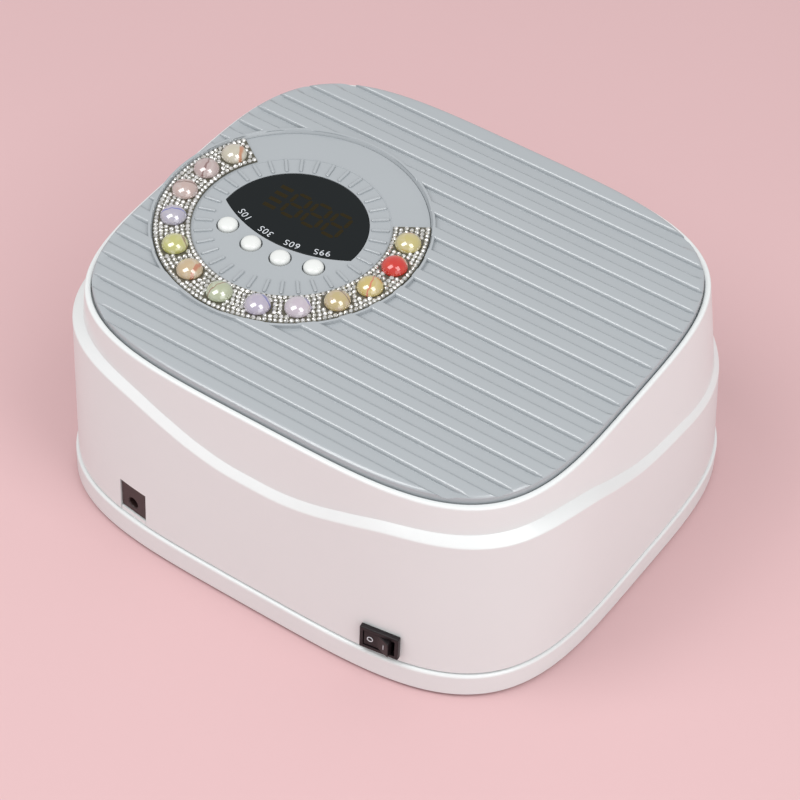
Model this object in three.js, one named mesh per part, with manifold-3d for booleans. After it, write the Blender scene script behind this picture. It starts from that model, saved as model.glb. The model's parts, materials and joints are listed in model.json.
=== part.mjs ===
// Nail lamp: a white casing with a ribbed grey top and a jewelled control dial, standing on
// a separate base tray. Millimetres, +Z up. The origin is on the table, under the middle of
// the footprint. -Y is the front, where the hand goes in, and +Y the rear, with the socket.
import * as THREE from "three";
import { mergeVertices } from "three/addons/utils/BufferGeometryUtils.js";
import Module from "manifold-3d";

const wasm = await Module();
wasm.setup();

// Fits and outlines
const GAP = 0.3; // between pieces that rest on each other
const OUTLINE_POWER = 3.97; // squareness of the rounded outlines
const OUTLINE_STEPS = 64;
const OVERRUN = 20; // how far a cutting solid runs past what it cuts

// Base tray
const TRAY = { half: [107, 95.8, 95.8], bottom: 1, top: 11, wall: 2.5 };
const FOOT = { x: 80, y: 68, radius: 6, height: 1.6, bossRadius: 8 };
const RIB_WIDTH = 2;
const PLATE = { inset: 6, thickness: 0.6 };

// Casing walls: half width, reach to the rear and reach to the front, at foot and at rim
const UPPER_WALL = { foot: [107.7, 93, 93.6], rim: [100, 90.4, 80.6] };
const LOWER_WALL = { foot: [106.2, 94.8, 94.6], rim: [104.8, 93.2, 82.5] };
const CASING_BOTTOM = 11.5;
const WALL = 2.4;
const RIM_HEIGHT = 92.9; // of the rim plane above the origin
const TOP_SLOPE = 0.043; // fall of the rim plane towards the rear
const RIM_EDGE = 0.9; // chamfer on the outside of the rim
const RIM_WIDTH = 2;
// The shoulder where the lower wall steps out: degrees round from the rear, and height
const SHOULDER = [
  [0, 64], [8, 64.4], [16, 66.8], [24, 70.8], [32, 74.9], [40, 76.8], [54, 78.2], [64, 78.3],
  [72, 75.1], [80, 69.1], [90, 62.8], [104, 58.9], [116, 55.9], [128, 57.3], [142, 68.3],
  [156, 78.3], [180, 81.3],
];
const SHOULDER_DROP = 3.1;
const DECK_TOP = -2; // heights from here on are measured from the rim plane
const DECK_BOTTOM = -4.2;

// Top panel and dial
const PANEL = { inset: 2.3, top: 3, floor: 1.4, bottom: -1.7, roll: 2.5, drop: 1.1 };
const GROOVE = { count: 15, first: -71, pitch: 10.58, width: 4.5 };
const DIAL = { x: 46.5, y: 5.3, recess: 50.4, floor: 1.6, border: 51.9, disc: 36, well: 33.5 };
const TICK = { count: 36, inner: 28.6, outer: 35, width: 1.2, height: 0.8 };
const WINDOW = { radius: 27.9, arcRadius: 51.2, arcOffset: 40.4, thickness: 1.4, ledge: 1.5 };
const BAND = { inner: 36.6, outer: 50.1, halfSpan: 123.3, thickness: 0.4 };
const PEARL = { ring: 43.1, radius: 4.8, height: 3.8 };
// Where the pearls sit, in degrees round the dial from straight back, starting on the +X side
const PEARL_TURNS = [-114, -97, -79, -60, -40, -21, 0, 20, 39, 58, 76, 94, 111];
const BUTTON = { arcRadius: 56.8, spacing: 13.1, radius: 3.7, hole: 4.2, top: 3.5 };
const BUTTON_NAMES = ["button_10s", "button_30s", "button_60s", "button_99s"]; // from the +X side

// Electronics under the dial
const BOARD = { halfX: 36.5, halfY: 33.5, top: -9.9, thickness: 1.6 };
const POST = { x: 33, y: 30, radius: 2.6 };
const DISPLAY = { halfX: 19, halfY: 8.5, offsetY: -9, top: -0.6 };

// Hand chamber
const CHAMBER = { half: 80, top: 71, corner: 26, rear: 72, skin: 1.6 };
const FLANGE = { half: 87, rear: 79, bottom: 15.3, top: 16.5 };
const LED = { radius: 3.4, hole: 3.8, reach: 4.8, dome: 0.8 };
const LED_BOARD = { thickness: 1.6, standoff: 2.4 };
const CEILING_LEDS = { xs: [-46, -16, 16, 46], ys: [-60, -22, 16, 54] };
const SIDE_LEDS = { ys: [-45, 0, 45], zs: [25, 39] };
const REAR_LEDS = { xs: [-48, -24, 0, 24, 48], z: 41 };
const SENSOR = { x: 0, y: -66, radius: 3.4 };

// Bottom frame with its magnets and screws
const FRAME_TOP = 14.4;
const MAGNET = { x: 90, y: 60, radius: 5, height: 2 };
const CASING_SCREW = { x: 95, y: 36, head: 2.8, headHeight: 1.6, shank: 1.2, length: 12 };
const BOSS = { radius: 4, height: 22, web: 2.4, toWall: 8.6 };

// Rear fittings: centre along X and height, with the turn of the wall there in degrees
const JACK = { x: 53, z: 20.3, width: 12.3, height: 13, depth: 11, turn: -7.1 };
const JACK_HOLE = { x: 0.4, z: 18.4, radius: 2.2, depth: 9, pin: 0.8 };
const SWITCH = { x: -56.4, z: 19.2, turn: 8.7, bezel: [15, 10.5], body: [13.4, 8.8] };
const ROCKER = { half: 5.3, rise: 3.4, centre: 2.2, height: 6.8, pivot: -0.5, rest: -12 };

const degrees = THREE.MathUtils.degToRad;
const material = (color, roughness, metalness = 0) =>
  new THREE.MeshStandardMaterial({ color, roughness, metalness });
const WHITE = material(0xe9e4e4, 0.25);
const GREY = material(0xb4bcc0, 0.45);
const BLACK = material(0x1d1a1c, 0.4);
const SMOKED = material(0x23292b, 0.12);
const SILVER = material(0xd8dadc, 0.15, 1);
const STEEL = material(0x9fa3a6, 0.3, 1);
const RUBBER = material(0x2a2a2c, 0.9);
const BOARD_GREEN = material(0x2f6b46, 0.5);
const GUNMETAL = material(0x5b594f, 0.4, 0.6);
const LEAD_RED = material(0xa8322e, 0.5);
const PEARL_COLOURS = [
  0xe9dfc6, 0xd9b9bd, 0xdcbdb2, 0xc7bde0, 0xc9c06a, 0xe6c49a, 0xbcc3a0,
  0xcfbfd8, 0xdcc9dc, 0xd8c27a, 0xe3c65c, 0xe0452c, 0xe0d07a,
];

// ---- Solids -----------------------------------------------------------------------------

function solidOf(geometry) {
  const bare = geometry.clone();
  bare.deleteAttribute("normal");
  bare.deleteAttribute("uv");
  const merged = mergeVertices(bare, 1e-4);
  return new wasm.Manifold(
    new wasm.Mesh({
      numProp: 3,
      vertProperties: merged.attributes.position.array,
      triVerts: new Uint32Array(merged.index.array),
    }),
  );
}

function geometryOf(solid) {
  const mesh = solid.getMesh();
  return new THREE.BufferGeometry()
    .setAttribute("position", new THREE.BufferAttribute(mesh.vertProperties, 3))
    .setIndex(new THREE.BufferAttribute(mesh.triVerts, 1));
}

function join(first, ...others) {
  const joined = others.reduce((sum, other) => sum.add(solidOf(other)), solidOf(first));
  return geometryOf(joined);
}

function cut(body, ...tools) {
  const left = tools.reduce((rest, tool) => rest.subtract(solidOf(tool)), solidOf(body));
  return geometryOf(left);
}

function common(first, second) {
  return geometryOf(solidOf(first).intersect(solidOf(second)));
}

function piece(name, geometry, finish) {
  geometry.computeVertexNormals();
  const mesh = new THREE.Mesh(geometry, finish);
  mesh.name = name;
  return mesh;
}

// A box between two corners.
function block(low, high) {
  const size = high.map((value, axis) => value - low[axis]);
  const middle = high.map((value, axis) => (value + low[axis]) / 2);
  return new THREE.BoxGeometry(...size).translate(...middle);
}

// An upright cylinder between two heights.
function post(x, y, radius, low, high, steps = 16) {
  return new THREE.CylinderGeometry(radius, radius, high - low, steps)
    .rotateX(Math.PI / 2)
    .translate(x, y, (low + high) / 2);
}

// A solid of revolution about Z from [radius, height] pairs, lowest first.
function turned(profile, steps = 20) {
  const points = profile.map(([radius, height]) => new THREE.Vector2(radius, height));
  return new THREE.LatheGeometry(points, steps).rotateX(Math.PI / 2);
}

// A flat shape raised from one height to another.
function slab(shape, low, high, curveSegments = 12) {
  const options = { depth: high - low, bevelEnabled: false, curveSegments };
  return new THREE.ExtrudeGeometry(shape, options).translate(0, 0, low);
}

// A closed solid through rings of equally many points, lowest ring first.
function loft(rings) {
  const count = rings[0].length;
  const last = (rings.length - 1) * count;
  const index = [];
  for (let ring = 0; ring + 1 < rings.length; ring += 1) {
    for (let i = 0; i < count; i += 1) {
      const a = ring * count + i;
      const b = ring * count + ((i + 1) % count);
      index.push(a, b, b + count, a, b + count, a + count);
    }
  }
  const lid = rings[0].map((point) => new THREE.Vector2(point.x, point.y));
  for (const [a, b, c] of THREE.ShapeUtils.triangulateShape(lid, [])) {
    index.push(a, c, b, last + a, last + b, last + c);
  }
  const positions = rings.flat().flatMap((point) => [point.x, point.y, point.z]);
  return new THREE.BufferGeometry()
    .setAttribute("position", new THREE.Float32BufferAttribute(positions, 3))
    .setIndex(index);
}

// ---- Outlines ---------------------------------------------------------------------------

// The point of a rounded outline at an angle; reach is [half width, rear, front].
function outlinePoint(angle, [halfX, rear, front], inset = 0) {
  const a = halfX - inset;
  const b = (rear + front) / 2 - inset;
  const across = Math.abs(Math.cos(angle) / a) ** OUTLINE_POWER;
  const along = Math.abs(Math.sin(angle) / b) ** OUTLINE_POWER;
  const radius = (across + along) ** (-1 / OUTLINE_POWER);
  const middle = (rear - front) / 2;
  return new THREE.Vector2(radius * Math.cos(angle), middle + radius * Math.sin(angle));
}

const outlineAngles = Array.from(
  { length: OUTLINE_STEPS },
  (_, step) => (2 * Math.PI * step) / OUTLINE_STEPS,
);

const rimHeight = (y) => RIM_HEIGHT - TOP_SLOPE * y;

// One level ring of an outline.
function ring(reach, inset, height) {
  return outlineAngles.map((angle) => {
    const point = outlinePoint(angle, reach, inset);
    return new THREE.Vector3(point.x, point.y, height);
  });
}

// One ring parallel to the rim plane, offset above it.
function rimRing(inset, offset) {
  return outlineAngles.map((angle) => {
    const point = outlinePoint(angle, UPPER_WALL.rim, inset);
    return new THREE.Vector3(point.x, point.y, rimHeight(point.y) + offset);
  });
}

// The height of the shoulder line at an angle: a smooth curve through its named heights,
// the same on both sides.
function shoulderHeight(angle) {
  const turn = THREE.MathUtils.radToDeg(angle) - 90;
  const fromRear = Math.abs(((turn + 540) % 360) - 180);
  const last = SHOULDER.length - 1;
  const next = Math.max(1, SHOULDER.findIndex(([at]) => at >= fromRear));
  const slopeAt = (index) => {
    if (index === 0 || index === last) return 0;
    const [beforeAt, before] = SHOULDER[index - 1];
    const [afterAt, after] = SHOULDER[index + 1];
    return (after - before) / (afterAt - beforeAt);
  };
  const [startAt, start] = SHOULDER[next - 1];
  const [endAt, end] = SHOULDER[next];
  const span = endAt - startAt;
  const t = (fromRear - startAt) / span;
  const bend = slopeAt(next - 1) * (1 - t) - slopeAt(next) * t;
  const eased = t * t * (3 - 2 * t);
  return start + (end - start) * eased + span * t * (1 - t) * bend;
}

// A point of the outer wall: stepOut is 0 on the upper wall and 1 on the lower wall.
function wallPoint(angle, height, stepOut) {
  const top = rimHeight(outlinePoint(angle, UPPER_WALL.rim).y);
  const share = (height - CASING_BOTTOM) / (top - CASING_BOTTOM);
  const reach = [0, 1, 2].map((axis) => {
    const blend = (wall) => wall.foot[axis] + (wall.rim[axis] - wall.foot[axis]) * share;
    return blend(UPPER_WALL) + (blend(LOWER_WALL) - blend(UPPER_WALL)) * stepOut;
  });
  const point = outlinePoint(angle, reach);
  return new THREE.Vector3(point.x, point.y, height);
}

// ---- Base tray --------------------------------------------------------------------------

function baseTray() {
  const tray = new THREE.Group();
  const { half, bottom, top, wall } = TRAY;
  const shell = loft([
    ring(half, 0.8, bottom),
    ring(half, 0, bottom + 1.2),
    ring(half, 0, top - 1.8),
    ring(half, 0.6, top - 0.6),
    ring(half, 2, top),
  ]);
  const ceiling = top - wall;
  const pocket = loft([ring(half, wall + 0.4, bottom - 1), ring(half, wall + 0.4, ceiling)]);
  const plateFloor = top - PLATE.thickness - GAP;
  const recess = loft([
    ring(half, PLATE.inset - GAP, plateFloor),
    ring(half, PLATE.inset - GAP, top + 1),
  ]);
  const feet = [];
  for (const x of [FOOT.x, -FOOT.x]) {
    for (const y of [FOOT.y, -FOOT.y]) feet.push([x, y]);
  }
  const bossBottom = FOOT.height + GAP;
  const bosses = feet.map(([x, y]) => post(x, y, FOOT.bossRadius, bossBottom, ceiling + 0.5));
  const ribs = [FOOT.y, 0, -FOOT.y].map((y) =>
    block(
      [-half[0] + 6 + wall, y - RIB_WIDTH / 2, bottom + 2],
      [half[0] - 6 - wall, y + RIB_WIDTH / 2, ceiling + 0.5],
    ),
  );
  const body = cut(join(cut(shell, pocket), ...bosses, ...ribs), recess);
  tray.add(piece("base_tray", body, WHITE));

  const plate = loft([
    ring(half, PLATE.inset, plateFloor + GAP),
    ring(half, PLATE.inset, top),
  ]);
  tray.add(piece("floor_plate", plate, SILVER));

  feet.forEach(([x, y], index) => {
    const { radius, height } = FOOT;
    const foot = turned([[0, 0], [radius - 0.5, 0], [radius, 0.5], [radius, height], [0, height]]);
    tray.add(piece("foot_" + (index + 1), foot.translate(x, y, 0), RUBBER));
  });
  return tray;
}

// ---- Hand chamber -----------------------------------------------------------------------

// The section of the chamber, drawn across X and up: upright sides and round top corners.
function chamberSection(grow, foot) {
  const half = CHAMBER.half + grow;
  const top = CHAMBER.top + grow;
  const corner = CHAMBER.corner + grow;
  const section = new THREE.Shape();
  section.moveTo(half, foot);
  section.lineTo(half, top - corner);
  section.absarc(half - corner, top - corner, corner, 0, Math.PI / 2, false);
  section.lineTo(-half + corner, top);
  section.absarc(-half + corner, top - corner, corner, Math.PI / 2, Math.PI, false);
  section.lineTo(-half, foot);
  return section;
}

// That section run along Y from the front to a rear end.
function chamberRun(grow, foot, front, rear) {
  const options = { depth: rear - front, bevelEnabled: false, curveSegments: 4 };
  return new THREE.ExtrudeGeometry(chamberSection(grow, foot), options)
    .rotateX(Math.PI / 2)
    .translate(0, rear, 0);
}

// The room inside the casing, below the deck, drawn in by a further inset.
function casingRoom(inset) {
  return loft([
    ring(LOWER_WALL.foot, WALL + inset, CASING_BOTTOM - OVERRUN),
    ring(LOWER_WALL.foot, WALL + inset, CASING_BOTTOM),
    rimRing(WALL + inset, DECK_BOTTOM),
  ]);
}

// Each row of lamps: its board, where its lamps stand, and which way they shine.
function ledRows() {
  const { standoff, thickness } = LED_BOARD;
  const away = CHAMBER.skin + standoff;
  const above = CHAMBER.top + away;
  const beside = CHAMBER.half + away;
  const behind = CHAMBER.rear + away;
  const down = new THREE.Vector3(0, 0, -1);
  const ceiling = CEILING_LEDS.xs.flatMap((x) => CEILING_LEDS.ys.map((y) => [x, y, above]));
  const side = (sign) =>
    SIDE_LEDS.ys.flatMap((y) => SIDE_LEDS.zs.map((z) => [sign * beside, y, z]));
  const rear = REAR_LEDS.xs.map((x) => [x, behind, REAR_LEDS.z]);
  return [
    {
      name: "led_board_ceiling",
      board: block([-56, -72, above], [56, 62, above + thickness]),
      at: ceiling,
      towards: down,
    },
    {
      name: "led_board_right",
      board: block([beside, -56, 19], [beside + thickness, 56, 45]),
      at: side(1),
      towards: new THREE.Vector3(-1, 0, 0),
    },
    {
      name: "led_board_left",
      board: block([-beside - thickness, -56, 19], [-beside, 56, 45]),
      at: side(-1),
      towards: new THREE.Vector3(1, 0, 0),
    },
    {
      name: "led_board_rear",
      board: block([-56, behind, 33], [56, behind + thickness, 49]),
      at: rear,
      towards: new THREE.Vector3(0, -1, 0),
    },
  ];
}

// A solid of revolution that stands at a point and faces a direction.
function facing(profile, at, towards, steps) {
  const turn = new THREE.Quaternion().setFromUnitVectors(new THREE.Vector3(0, 0, 1), towards);
  return turned(profile, steps).applyQuaternion(turn).translate(...at);
}

function lampBoards() {
  const { radius, reach, dome } = LED;
  const domeFoot = reach - dome;
  const bead = [[0, -0.5], [radius, -0.5], [radius, domeFoot], [radius * 0.6, reach], [0, reach]];
  const boards = new THREE.Group();
  for (const row of ledRows()) {
    const beads = row.at.map((at) => facing(bead, at, row.towards, 8));
    boards.add(piece(row.name, join(row.board, ...beads), BOARD_GREEN));
  }
  return boards;
}

function reflectorLiner() {
  const foot = TRAY.top + GAP + 0.1;
  const { skin, rear } = CHAMBER;
  const skinRun = chamberRun(skin, foot, -OVERRUN - 100, rear + skin);
  const flange = block(
    [-FLANGE.half, -OVERRUN - 100, FLANGE.bottom],
    [FLANGE.half, FLANGE.rear, FLANGE.top],
  );
  const hollow = chamberRun(0, foot - OVERRUN, -OVERRUN - 110, rear);
  const holeProfile = [[0, -1], [LED.hole, -1], [LED.hole, 8], [0, 8]];
  const holes = ledRows().flatMap((row) =>
    row.at.map((at) => facing(holeProfile, at, row.towards, 8)),
  );
  const sensorHole = post(SENSOR.x, SENSOR.y, SENSOR.radius + GAP, 60, 80, 12);
  const liner = cut(join(skinRun, flange), hollow, ...holes, sensorHole);
  return piece("reflector_liner", common(liner, casingRoom(GAP + 0.1)), SILVER);
}

// The dark lens in the chamber roof that the hand sensor looks through.
function sensorLens() {
  const { x, y, radius } = SENSOR;
  const seat = CHAMBER.top + CHAMBER.skin + GAP;
  const lens = turned([
    [0, CHAMBER.top - 0.4],
    [radius, CHAMBER.top - 0.4],
    [radius, seat],
    [radius + 1.4, seat],
    [radius + 1.4, seat + 1],
    [0, seat + 1],
  ]);
  return piece("sensor_lens", lens.translate(x, y, 0), BLACK);
}

// ---- Rear fittings ----------------------------------------------------------------------

// A group at the outer wall, turned to face squarely out of it; its own Y points outwards.
function rearStation({ x, turn }) {
  const station = new THREE.Group();
  const angle = Math.atan2(92.5, x);
  const onWall = wallPoint(angle, CASING_BOTTOM + 8, 1);
  station.position.set(x, onWall.y, 0);
  station.rotation.z = degrees(turn);
  station.updateMatrixWorld(true);
  return station;
}

function jackStation() {
  return rearStation(JACK);
}

function dcJack() {
  const station = jackStation();
  const { width, height, depth, z } = JACK;
  const face = -0.6;
  const outwards = new THREE.Vector3(0, 1, 0);
  const low = [-width / 2, face - depth, z - height / 2];
  const shell = block(low, [width / 2, face, z + height / 2]);
  const { radius, pin } = JACK_HOLE;
  const floor = face - JACK_HOLE.depth;
  const centre = [JACK_HOLE.x, floor, JACK_HOLE.z];
  const bore = [[0, 0], [radius, 0], [radius, JACK_HOLE.depth + 1], [0, JACK_HOLE.depth + 1]];
  const stem = [[0, -0.5], [pin, -0.5], [pin, JACK_HOLE.depth - 2], [0, JACK_HOLE.depth - 1.2]];
  const socket = cut(shell, facing(bore, centre, outwards, 24));
  station.add(piece("dc_jack", join(socket, facing(stem, centre, outwards, 12)), BLACK));
  return station;
}

function switchAssembly() {
  const station = rearStation(SWITCH);
  const { z } = SWITCH;
  const box = ([width, height], rear, front) =>
    block([-width / 2, rear, z - height / 2], [width / 2, front, z + height / 2]);
  const blade = (x) => block([x - 0.4, -12, z - 2.4], [x + 0.4, -8, z + 2.4]);
  const shell = join(box(SWITCH.bezel, GAP, 1.9), box(SWITCH.body, -9, 1), blade(-3.5), blade(3.5));
  const hollow = box([12.5, 7.4], -6.5, 3);
  const pinHole = post(0, ROCKER.pivot, 1.1, z - 4.6, z + 4.6, 12);
  station.add(piece("switch_housing", cut(shell, hollow, pinHole), BLACK));

  const { half, rise, centre, height, pivot, rest } = ROCKER;
  const side = new THREE.Shape();
  side.moveTo(-half, rise);
  side.lineTo(-4.6, -1);
  side.lineTo(-3, -3.4);
  side.lineTo(3, -3.4);
  side.lineTo(4.6, -1);
  side.lineTo(half, rise);
  side.lineTo(0, centre);
  const paddle = join(slab(side, -height / 2, height / 2), post(0, 0, 0.8, -4.1, 4.1, 12));
  const rocker = piece("rocker", paddle, BLACK);
  rocker.position.set(0, pivot, z);
  rocker.rotation.z = degrees(rest);
  station.add(rocker);
  return station;
}

// Moves a geometry from a rear station into the object's frame.
function fromStation(station, geometry) {
  return geometry.applyMatrix4(station.matrixWorld);
}

// ---- Casing and bottom frame ------------------------------------------------------------

function casingWalls() {
  const wallRing = (height, stepOut) =>
    outlineAngles.map((angle) => wallPoint(angle, height(angle), stepOut));
  const shoulderRing = (share, stepOut) =>
    wallRing((angle) => shoulderHeight(angle) - SHOULDER_DROP * share, stepOut);
  return loft([
    wallRing(() => CASING_BOTTOM, 1),
    shoulderRing(1, 1),
    shoulderRing(0.8, 0.93),
    shoulderRing(0, 0),
    rimRing(0, -RIM_EDGE),
    rimRing(RIM_EDGE * 0.7, 0),
  ]);
}

// The four places where the bottom frame is screwed up into the casing.
const screwPlaces = [1, -1].flatMap((side) => [
  [side * CASING_SCREW.x, CASING_SCREW.y],
  [side * CASING_SCREW.x, -CASING_SCREW.y],
]);

const boardCorners = [1, -1].flatMap((side) => [
  [DIAL.x + side * POST.x, DIAL.y + POST.y],
  [DIAL.x + side * POST.x, DIAL.y - POST.y],
]);

function casing(deck) {
  const onDeck = (geometry) => geometry.applyMatrix4(deck.matrixWorld);
  const recess = loft([rimRing(RIM_WIDTH, DECK_TOP), rimRing(RIM_WIDTH, OVERRUN)]);
  const well = onDeck(post(DIAL.x, DIAL.y, DIAL.well, DECK_BOTTOM - 2, 5, 40));
  const doorway = chamberRun(0, CASING_BOTTOM - OVERRUN, -OVERRUN - 100, -50);
  const jackWidth = JACK.width / 2 + GAP;
  const jackCut = block(
    [-jackWidth, -8, CASING_BOTTOM - 5],
    [jackWidth, 5, JACK.z + JACK.height / 2 + GAP],
  );
  const [bodyWidth, bodyHeight] = SWITCH.body.map((size) => size / 2 + GAP);
  const switchCut = block(
    [-bodyWidth, -8, SWITCH.z - bodyHeight],
    [bodyWidth, 5, SWITCH.z + bodyHeight],
  );
  const shell = cut(
    casingWalls(),
    casingRoom(0),
    recess,
    well,
    doorway,
    fromStation(jackStation(), jackCut),
    fromStation(rearStation(SWITCH), switchCut),
  );
  const bossFoot = FRAME_TOP + GAP;
  const bossTop = bossFoot + BOSS.height;
  const bosses = screwPlaces.flatMap(([x, y]) => {
    const wallSide = x + Math.sign(x) * BOSS.toWall;
    const webLow = [Math.min(x, wallSide), y - BOSS.web / 2, bossFoot];
    const webHigh = [Math.max(x, wallSide), y + BOSS.web / 2, bossTop];
    return [post(x, y, BOSS.radius, bossFoot, bossTop), block(webLow, webHigh)];
  });
  const threads = screwPlaces.map(([x, y]) =>
    post(x, y, CASING_SCREW.shank + GAP, bossFoot - 1, bossFoot + CASING_SCREW.length, 10),
  );
  const standoffs = boardCorners.map(([x, y]) =>
    onDeck(post(x, y, POST.radius, BOARD.top + GAP, DECK_BOTTOM + 1, 12)),
  );
  const boardThreads = boardCorners.map(([x, y]) =>
    onDeck(post(x, y, 1.4, BOARD.top - 1, DECK_BOTTOM - 0.6, 8)),
  );
  const body = cut(join(shell, ...bosses, ...standoffs), ...threads, ...boardThreads);
  return piece("casing", body, WHITE);
}

// The frame that closes the space between casing and liner; a tab under the socket fills
// the slot in the casing wall.
function bottomFrame() {
  const layer = block([-200, -200, CASING_BOTTOM], [200, 200, FRAME_TOP]);
  const sheet = common(layer, casingRoom(GAP + 0.1));
  const window = block(
    [-CHAMBER.half - CHAMBER.skin - GAP, -OVERRUN - 100, 0],
    [CHAMBER.half + CHAMBER.skin + GAP, CHAMBER.rear + CHAMBER.skin + GAP, 30],
  );
  const tab = block(
    [-JACK.width / 2, -6, CASING_BOTTOM],
    [JACK.width / 2, -0.2, JACK.z - JACK.height / 2 - GAP],
  );
  const screwHoles = screwPlaces.flatMap(([x, y]) => [
    post(x, y, CASING_SCREW.shank + GAP, 0, 30, 10),
    post(x, y, CASING_SCREW.head + GAP, 0, CASING_BOTTOM + 2, 12),
  ]);
  const pockets = magnetPlaces.map(([x, y]) =>
    post(x, y, MAGNET.radius + GAP, 0, CASING_BOTTOM + MAGNET.height + GAP),
  );
  const jackBed = block(
    [-JACK.width / 2 - GAP, -JACK.depth - 2, JACK.z - JACK.height / 2 - GAP],
    [JACK.width / 2 + GAP, 0, FRAME_TOP + 5],
  );
  const blank = join(sheet, fromStation(jackStation(), tab));
  const bed = fromStation(jackStation(), jackBed);
  return piece("bottom_frame", cut(blank, bed, window, ...screwHoles, ...pockets), WHITE);
}

const magnetPlaces = [1, -1].flatMap((side) => [
  [side * MAGNET.x, MAGNET.y],
  [side * MAGNET.x, -MAGNET.y],
]);

function fasteners() {
  const group = new THREE.Group();
  magnetPlaces.forEach(([x, y], index) => {
    const magnet = post(x, y, MAGNET.radius, CASING_BOTTOM, CASING_BOTTOM + MAGNET.height);
    group.add(piece("magnet_" + (index + 1), magnet, STEEL));
  });
  screwPlaces.forEach(([x, y], index) => {
    const { head, headHeight, shank, length } = CASING_SCREW;
    const profile = [
      [0, 0], [head, 0], [head, headHeight], [shank, headHeight], [shank, length], [0, length + 1],
    ];
    const screw = turned(profile, 12).translate(x, y, CASING_BOTTOM);
    group.add(piece("casing_screw_" + (index + 1), screw, STEEL));
  });
  return group;
}

// ---- Top panel and dial, in the frame of the sloping rim plane ----------------------------

function dialArc(radius, halfSpan, inwards) {
  const rear = Math.PI / 2;
  const start = rear - degrees(halfSpan);
  const end = rear + degrees(halfSpan);
  const [from, to] = inwards ? [end, start] : [start, end];
  return [DIAL.x, DIAL.y, radius, from, to, inwards];
}

// The channels between the raised bars: they run right across, and stop at the dial's border.
function grooveBlocks() {
  const blocks = [];
  for (let index = 0; index < GROOVE.count; index += 1) {
    const front = GROOVE.first + GROOVE.pitch * index;
    const rear = front + GROOVE.width;
    const nearest = Math.max(0, front - DIAL.y, DIAL.y - rear);
    const chord = nearest < DIAL.border ? Math.sqrt(DIAL.border ** 2 - nearest ** 2) : 0;
    const end = UPPER_WALL.rim[0];
    const spans = chord ? [[-end, DIAL.x - chord], [DIAL.x + chord, end]] : [[-end, end]];
    for (const [left, right] of spans) {
      blocks.push(block([left, front, PANEL.floor], [right, rear, PANEL.top + 3]));
    }
  }
  return blocks;
}

function topPanel() {
  const { inset, top, bottom, roll, drop } = PANEL;
  const flatRing = (extra, height) => ring(UPPER_WALL.rim, inset + extra, height);
  const plate = loft([
    flatRing(0, bottom),
    flatRing(0, top - drop),
    flatRing(roll * 0.13, top - drop * 0.5),
    flatRing(roll * 0.5, top - drop * 0.13),
    flatRing(roll, top),
  ]);
  const recess = post(DIAL.x, DIAL.y, DIAL.recess, DIAL.floor, top + 5, 60);
  const hole = post(DIAL.x, DIAL.y, DIAL.disc + GAP, bottom - 2, top + 5, 48);
  return piece("top_panel", cut(plate, ...grooveBlocks(), recess, hole), GREY);
}

// The eye-shaped display outline: a circle about the dial, cut by an arc on its rear side.
function windowShape(inset) {
  const radius = WINDOW.radius - inset;
  const arcRadius = WINDOW.arcRadius - inset;
  const offset = WINDOW.arcOffset;
  const tipY = (arcRadius ** 2 - radius ** 2 - offset ** 2) / (2 * offset);
  const tipX = Math.sqrt(radius ** 2 - tipY ** 2);
  const rightTip = Math.atan2(tipY, tipX);
  const arcTip = Math.atan2(tipY + offset, tipX);
  const shape = new THREE.Shape();
  shape.absarc(DIAL.x, DIAL.y, radius, Math.PI - rightTip, 2 * Math.PI + rightTip, false);
  shape.absarc(DIAL.x, DIAL.y - offset, arcRadius, arcTip, Math.PI - arcTip, false);
  return shape;
}

const buttonPlaces = BUTTON_NAMES.map((name, index) => {
  const turn = degrees(90 + BUTTON.spacing * (index - (BUTTON_NAMES.length - 1) / 2));
  const x = DIAL.x + BUTTON.arcRadius * Math.cos(turn);
  const y = DIAL.y - WINDOW.arcOffset + BUTTON.arcRadius * Math.sin(turn);
  return { name, x, y };
});

function dialDisc() {
  const { x, y, disc, floor } = DIAL;
  const plate = post(x, y, disc, PANEL.bottom, floor, 40);
  const ticks = Array.from({ length: TICK.count }, (_, index) => {
    const turn = (2 * Math.PI * index) / TICK.count;
    return block(
      [TICK.inner, -TICK.width / 2, floor - 0.3],
      [TICK.outer, TICK.width / 2, floor + TICK.height],
    )
      .rotateZ(turn)
      .translate(x, y, 0);
  });
  const seat = slab(windowShape(-GAP), floor - WINDOW.thickness - GAP, floor + 5);
  const opening = slab(windowShape(WINDOW.ledge), PANEL.bottom - 5, floor + 5, 8);
  const holes = buttonPlaces.map((place) =>
    post(place.x, place.y, BUTTON.hole, PANEL.bottom - 5, floor + 5, 16),
  );
  return piece("dial_disc", cut(join(plate, ...ticks), seat, opening, ...holes), GREY);
}

function gemBand() {
  const sector = new THREE.Shape();
  sector.absarc(...dialArc(BAND.outer, BAND.halfSpan, false));
  sector.absarc(...dialArc(BAND.inner, BAND.halfSpan, true));
  const low = DIAL.floor + GAP;
  return piece("gem_band", slab(sector, low, low + BAND.thickness, 20), GUNMETAL);
}

function pearls() {
  const group = new THREE.Group();
  const { radius, height } = PEARL;
  const low = DIAL.floor + BAND.thickness + 2 * GAP;
  const dome = [
    [0, 0], [radius * 0.94, 0], [radius, 0.8], [radius * 0.8, height * 0.68],
    [radius * 0.4, height * 0.94], [0, height],
  ];
  PEARL_TURNS.forEach((fromRear, index) => {
    const turn = degrees(90 + fromRear);
    const x = DIAL.x + PEARL.ring * Math.cos(turn);
    const y = DIAL.y + PEARL.ring * Math.sin(turn);
    const name = "pearl_" + String(index + 1).padStart(2, "0");
    const finish = material(PEARL_COLOURS[index], 0.15);
    group.add(piece(name, turned(dome, 14).translate(x, y, low), finish));
  });
  return group;
}

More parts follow.
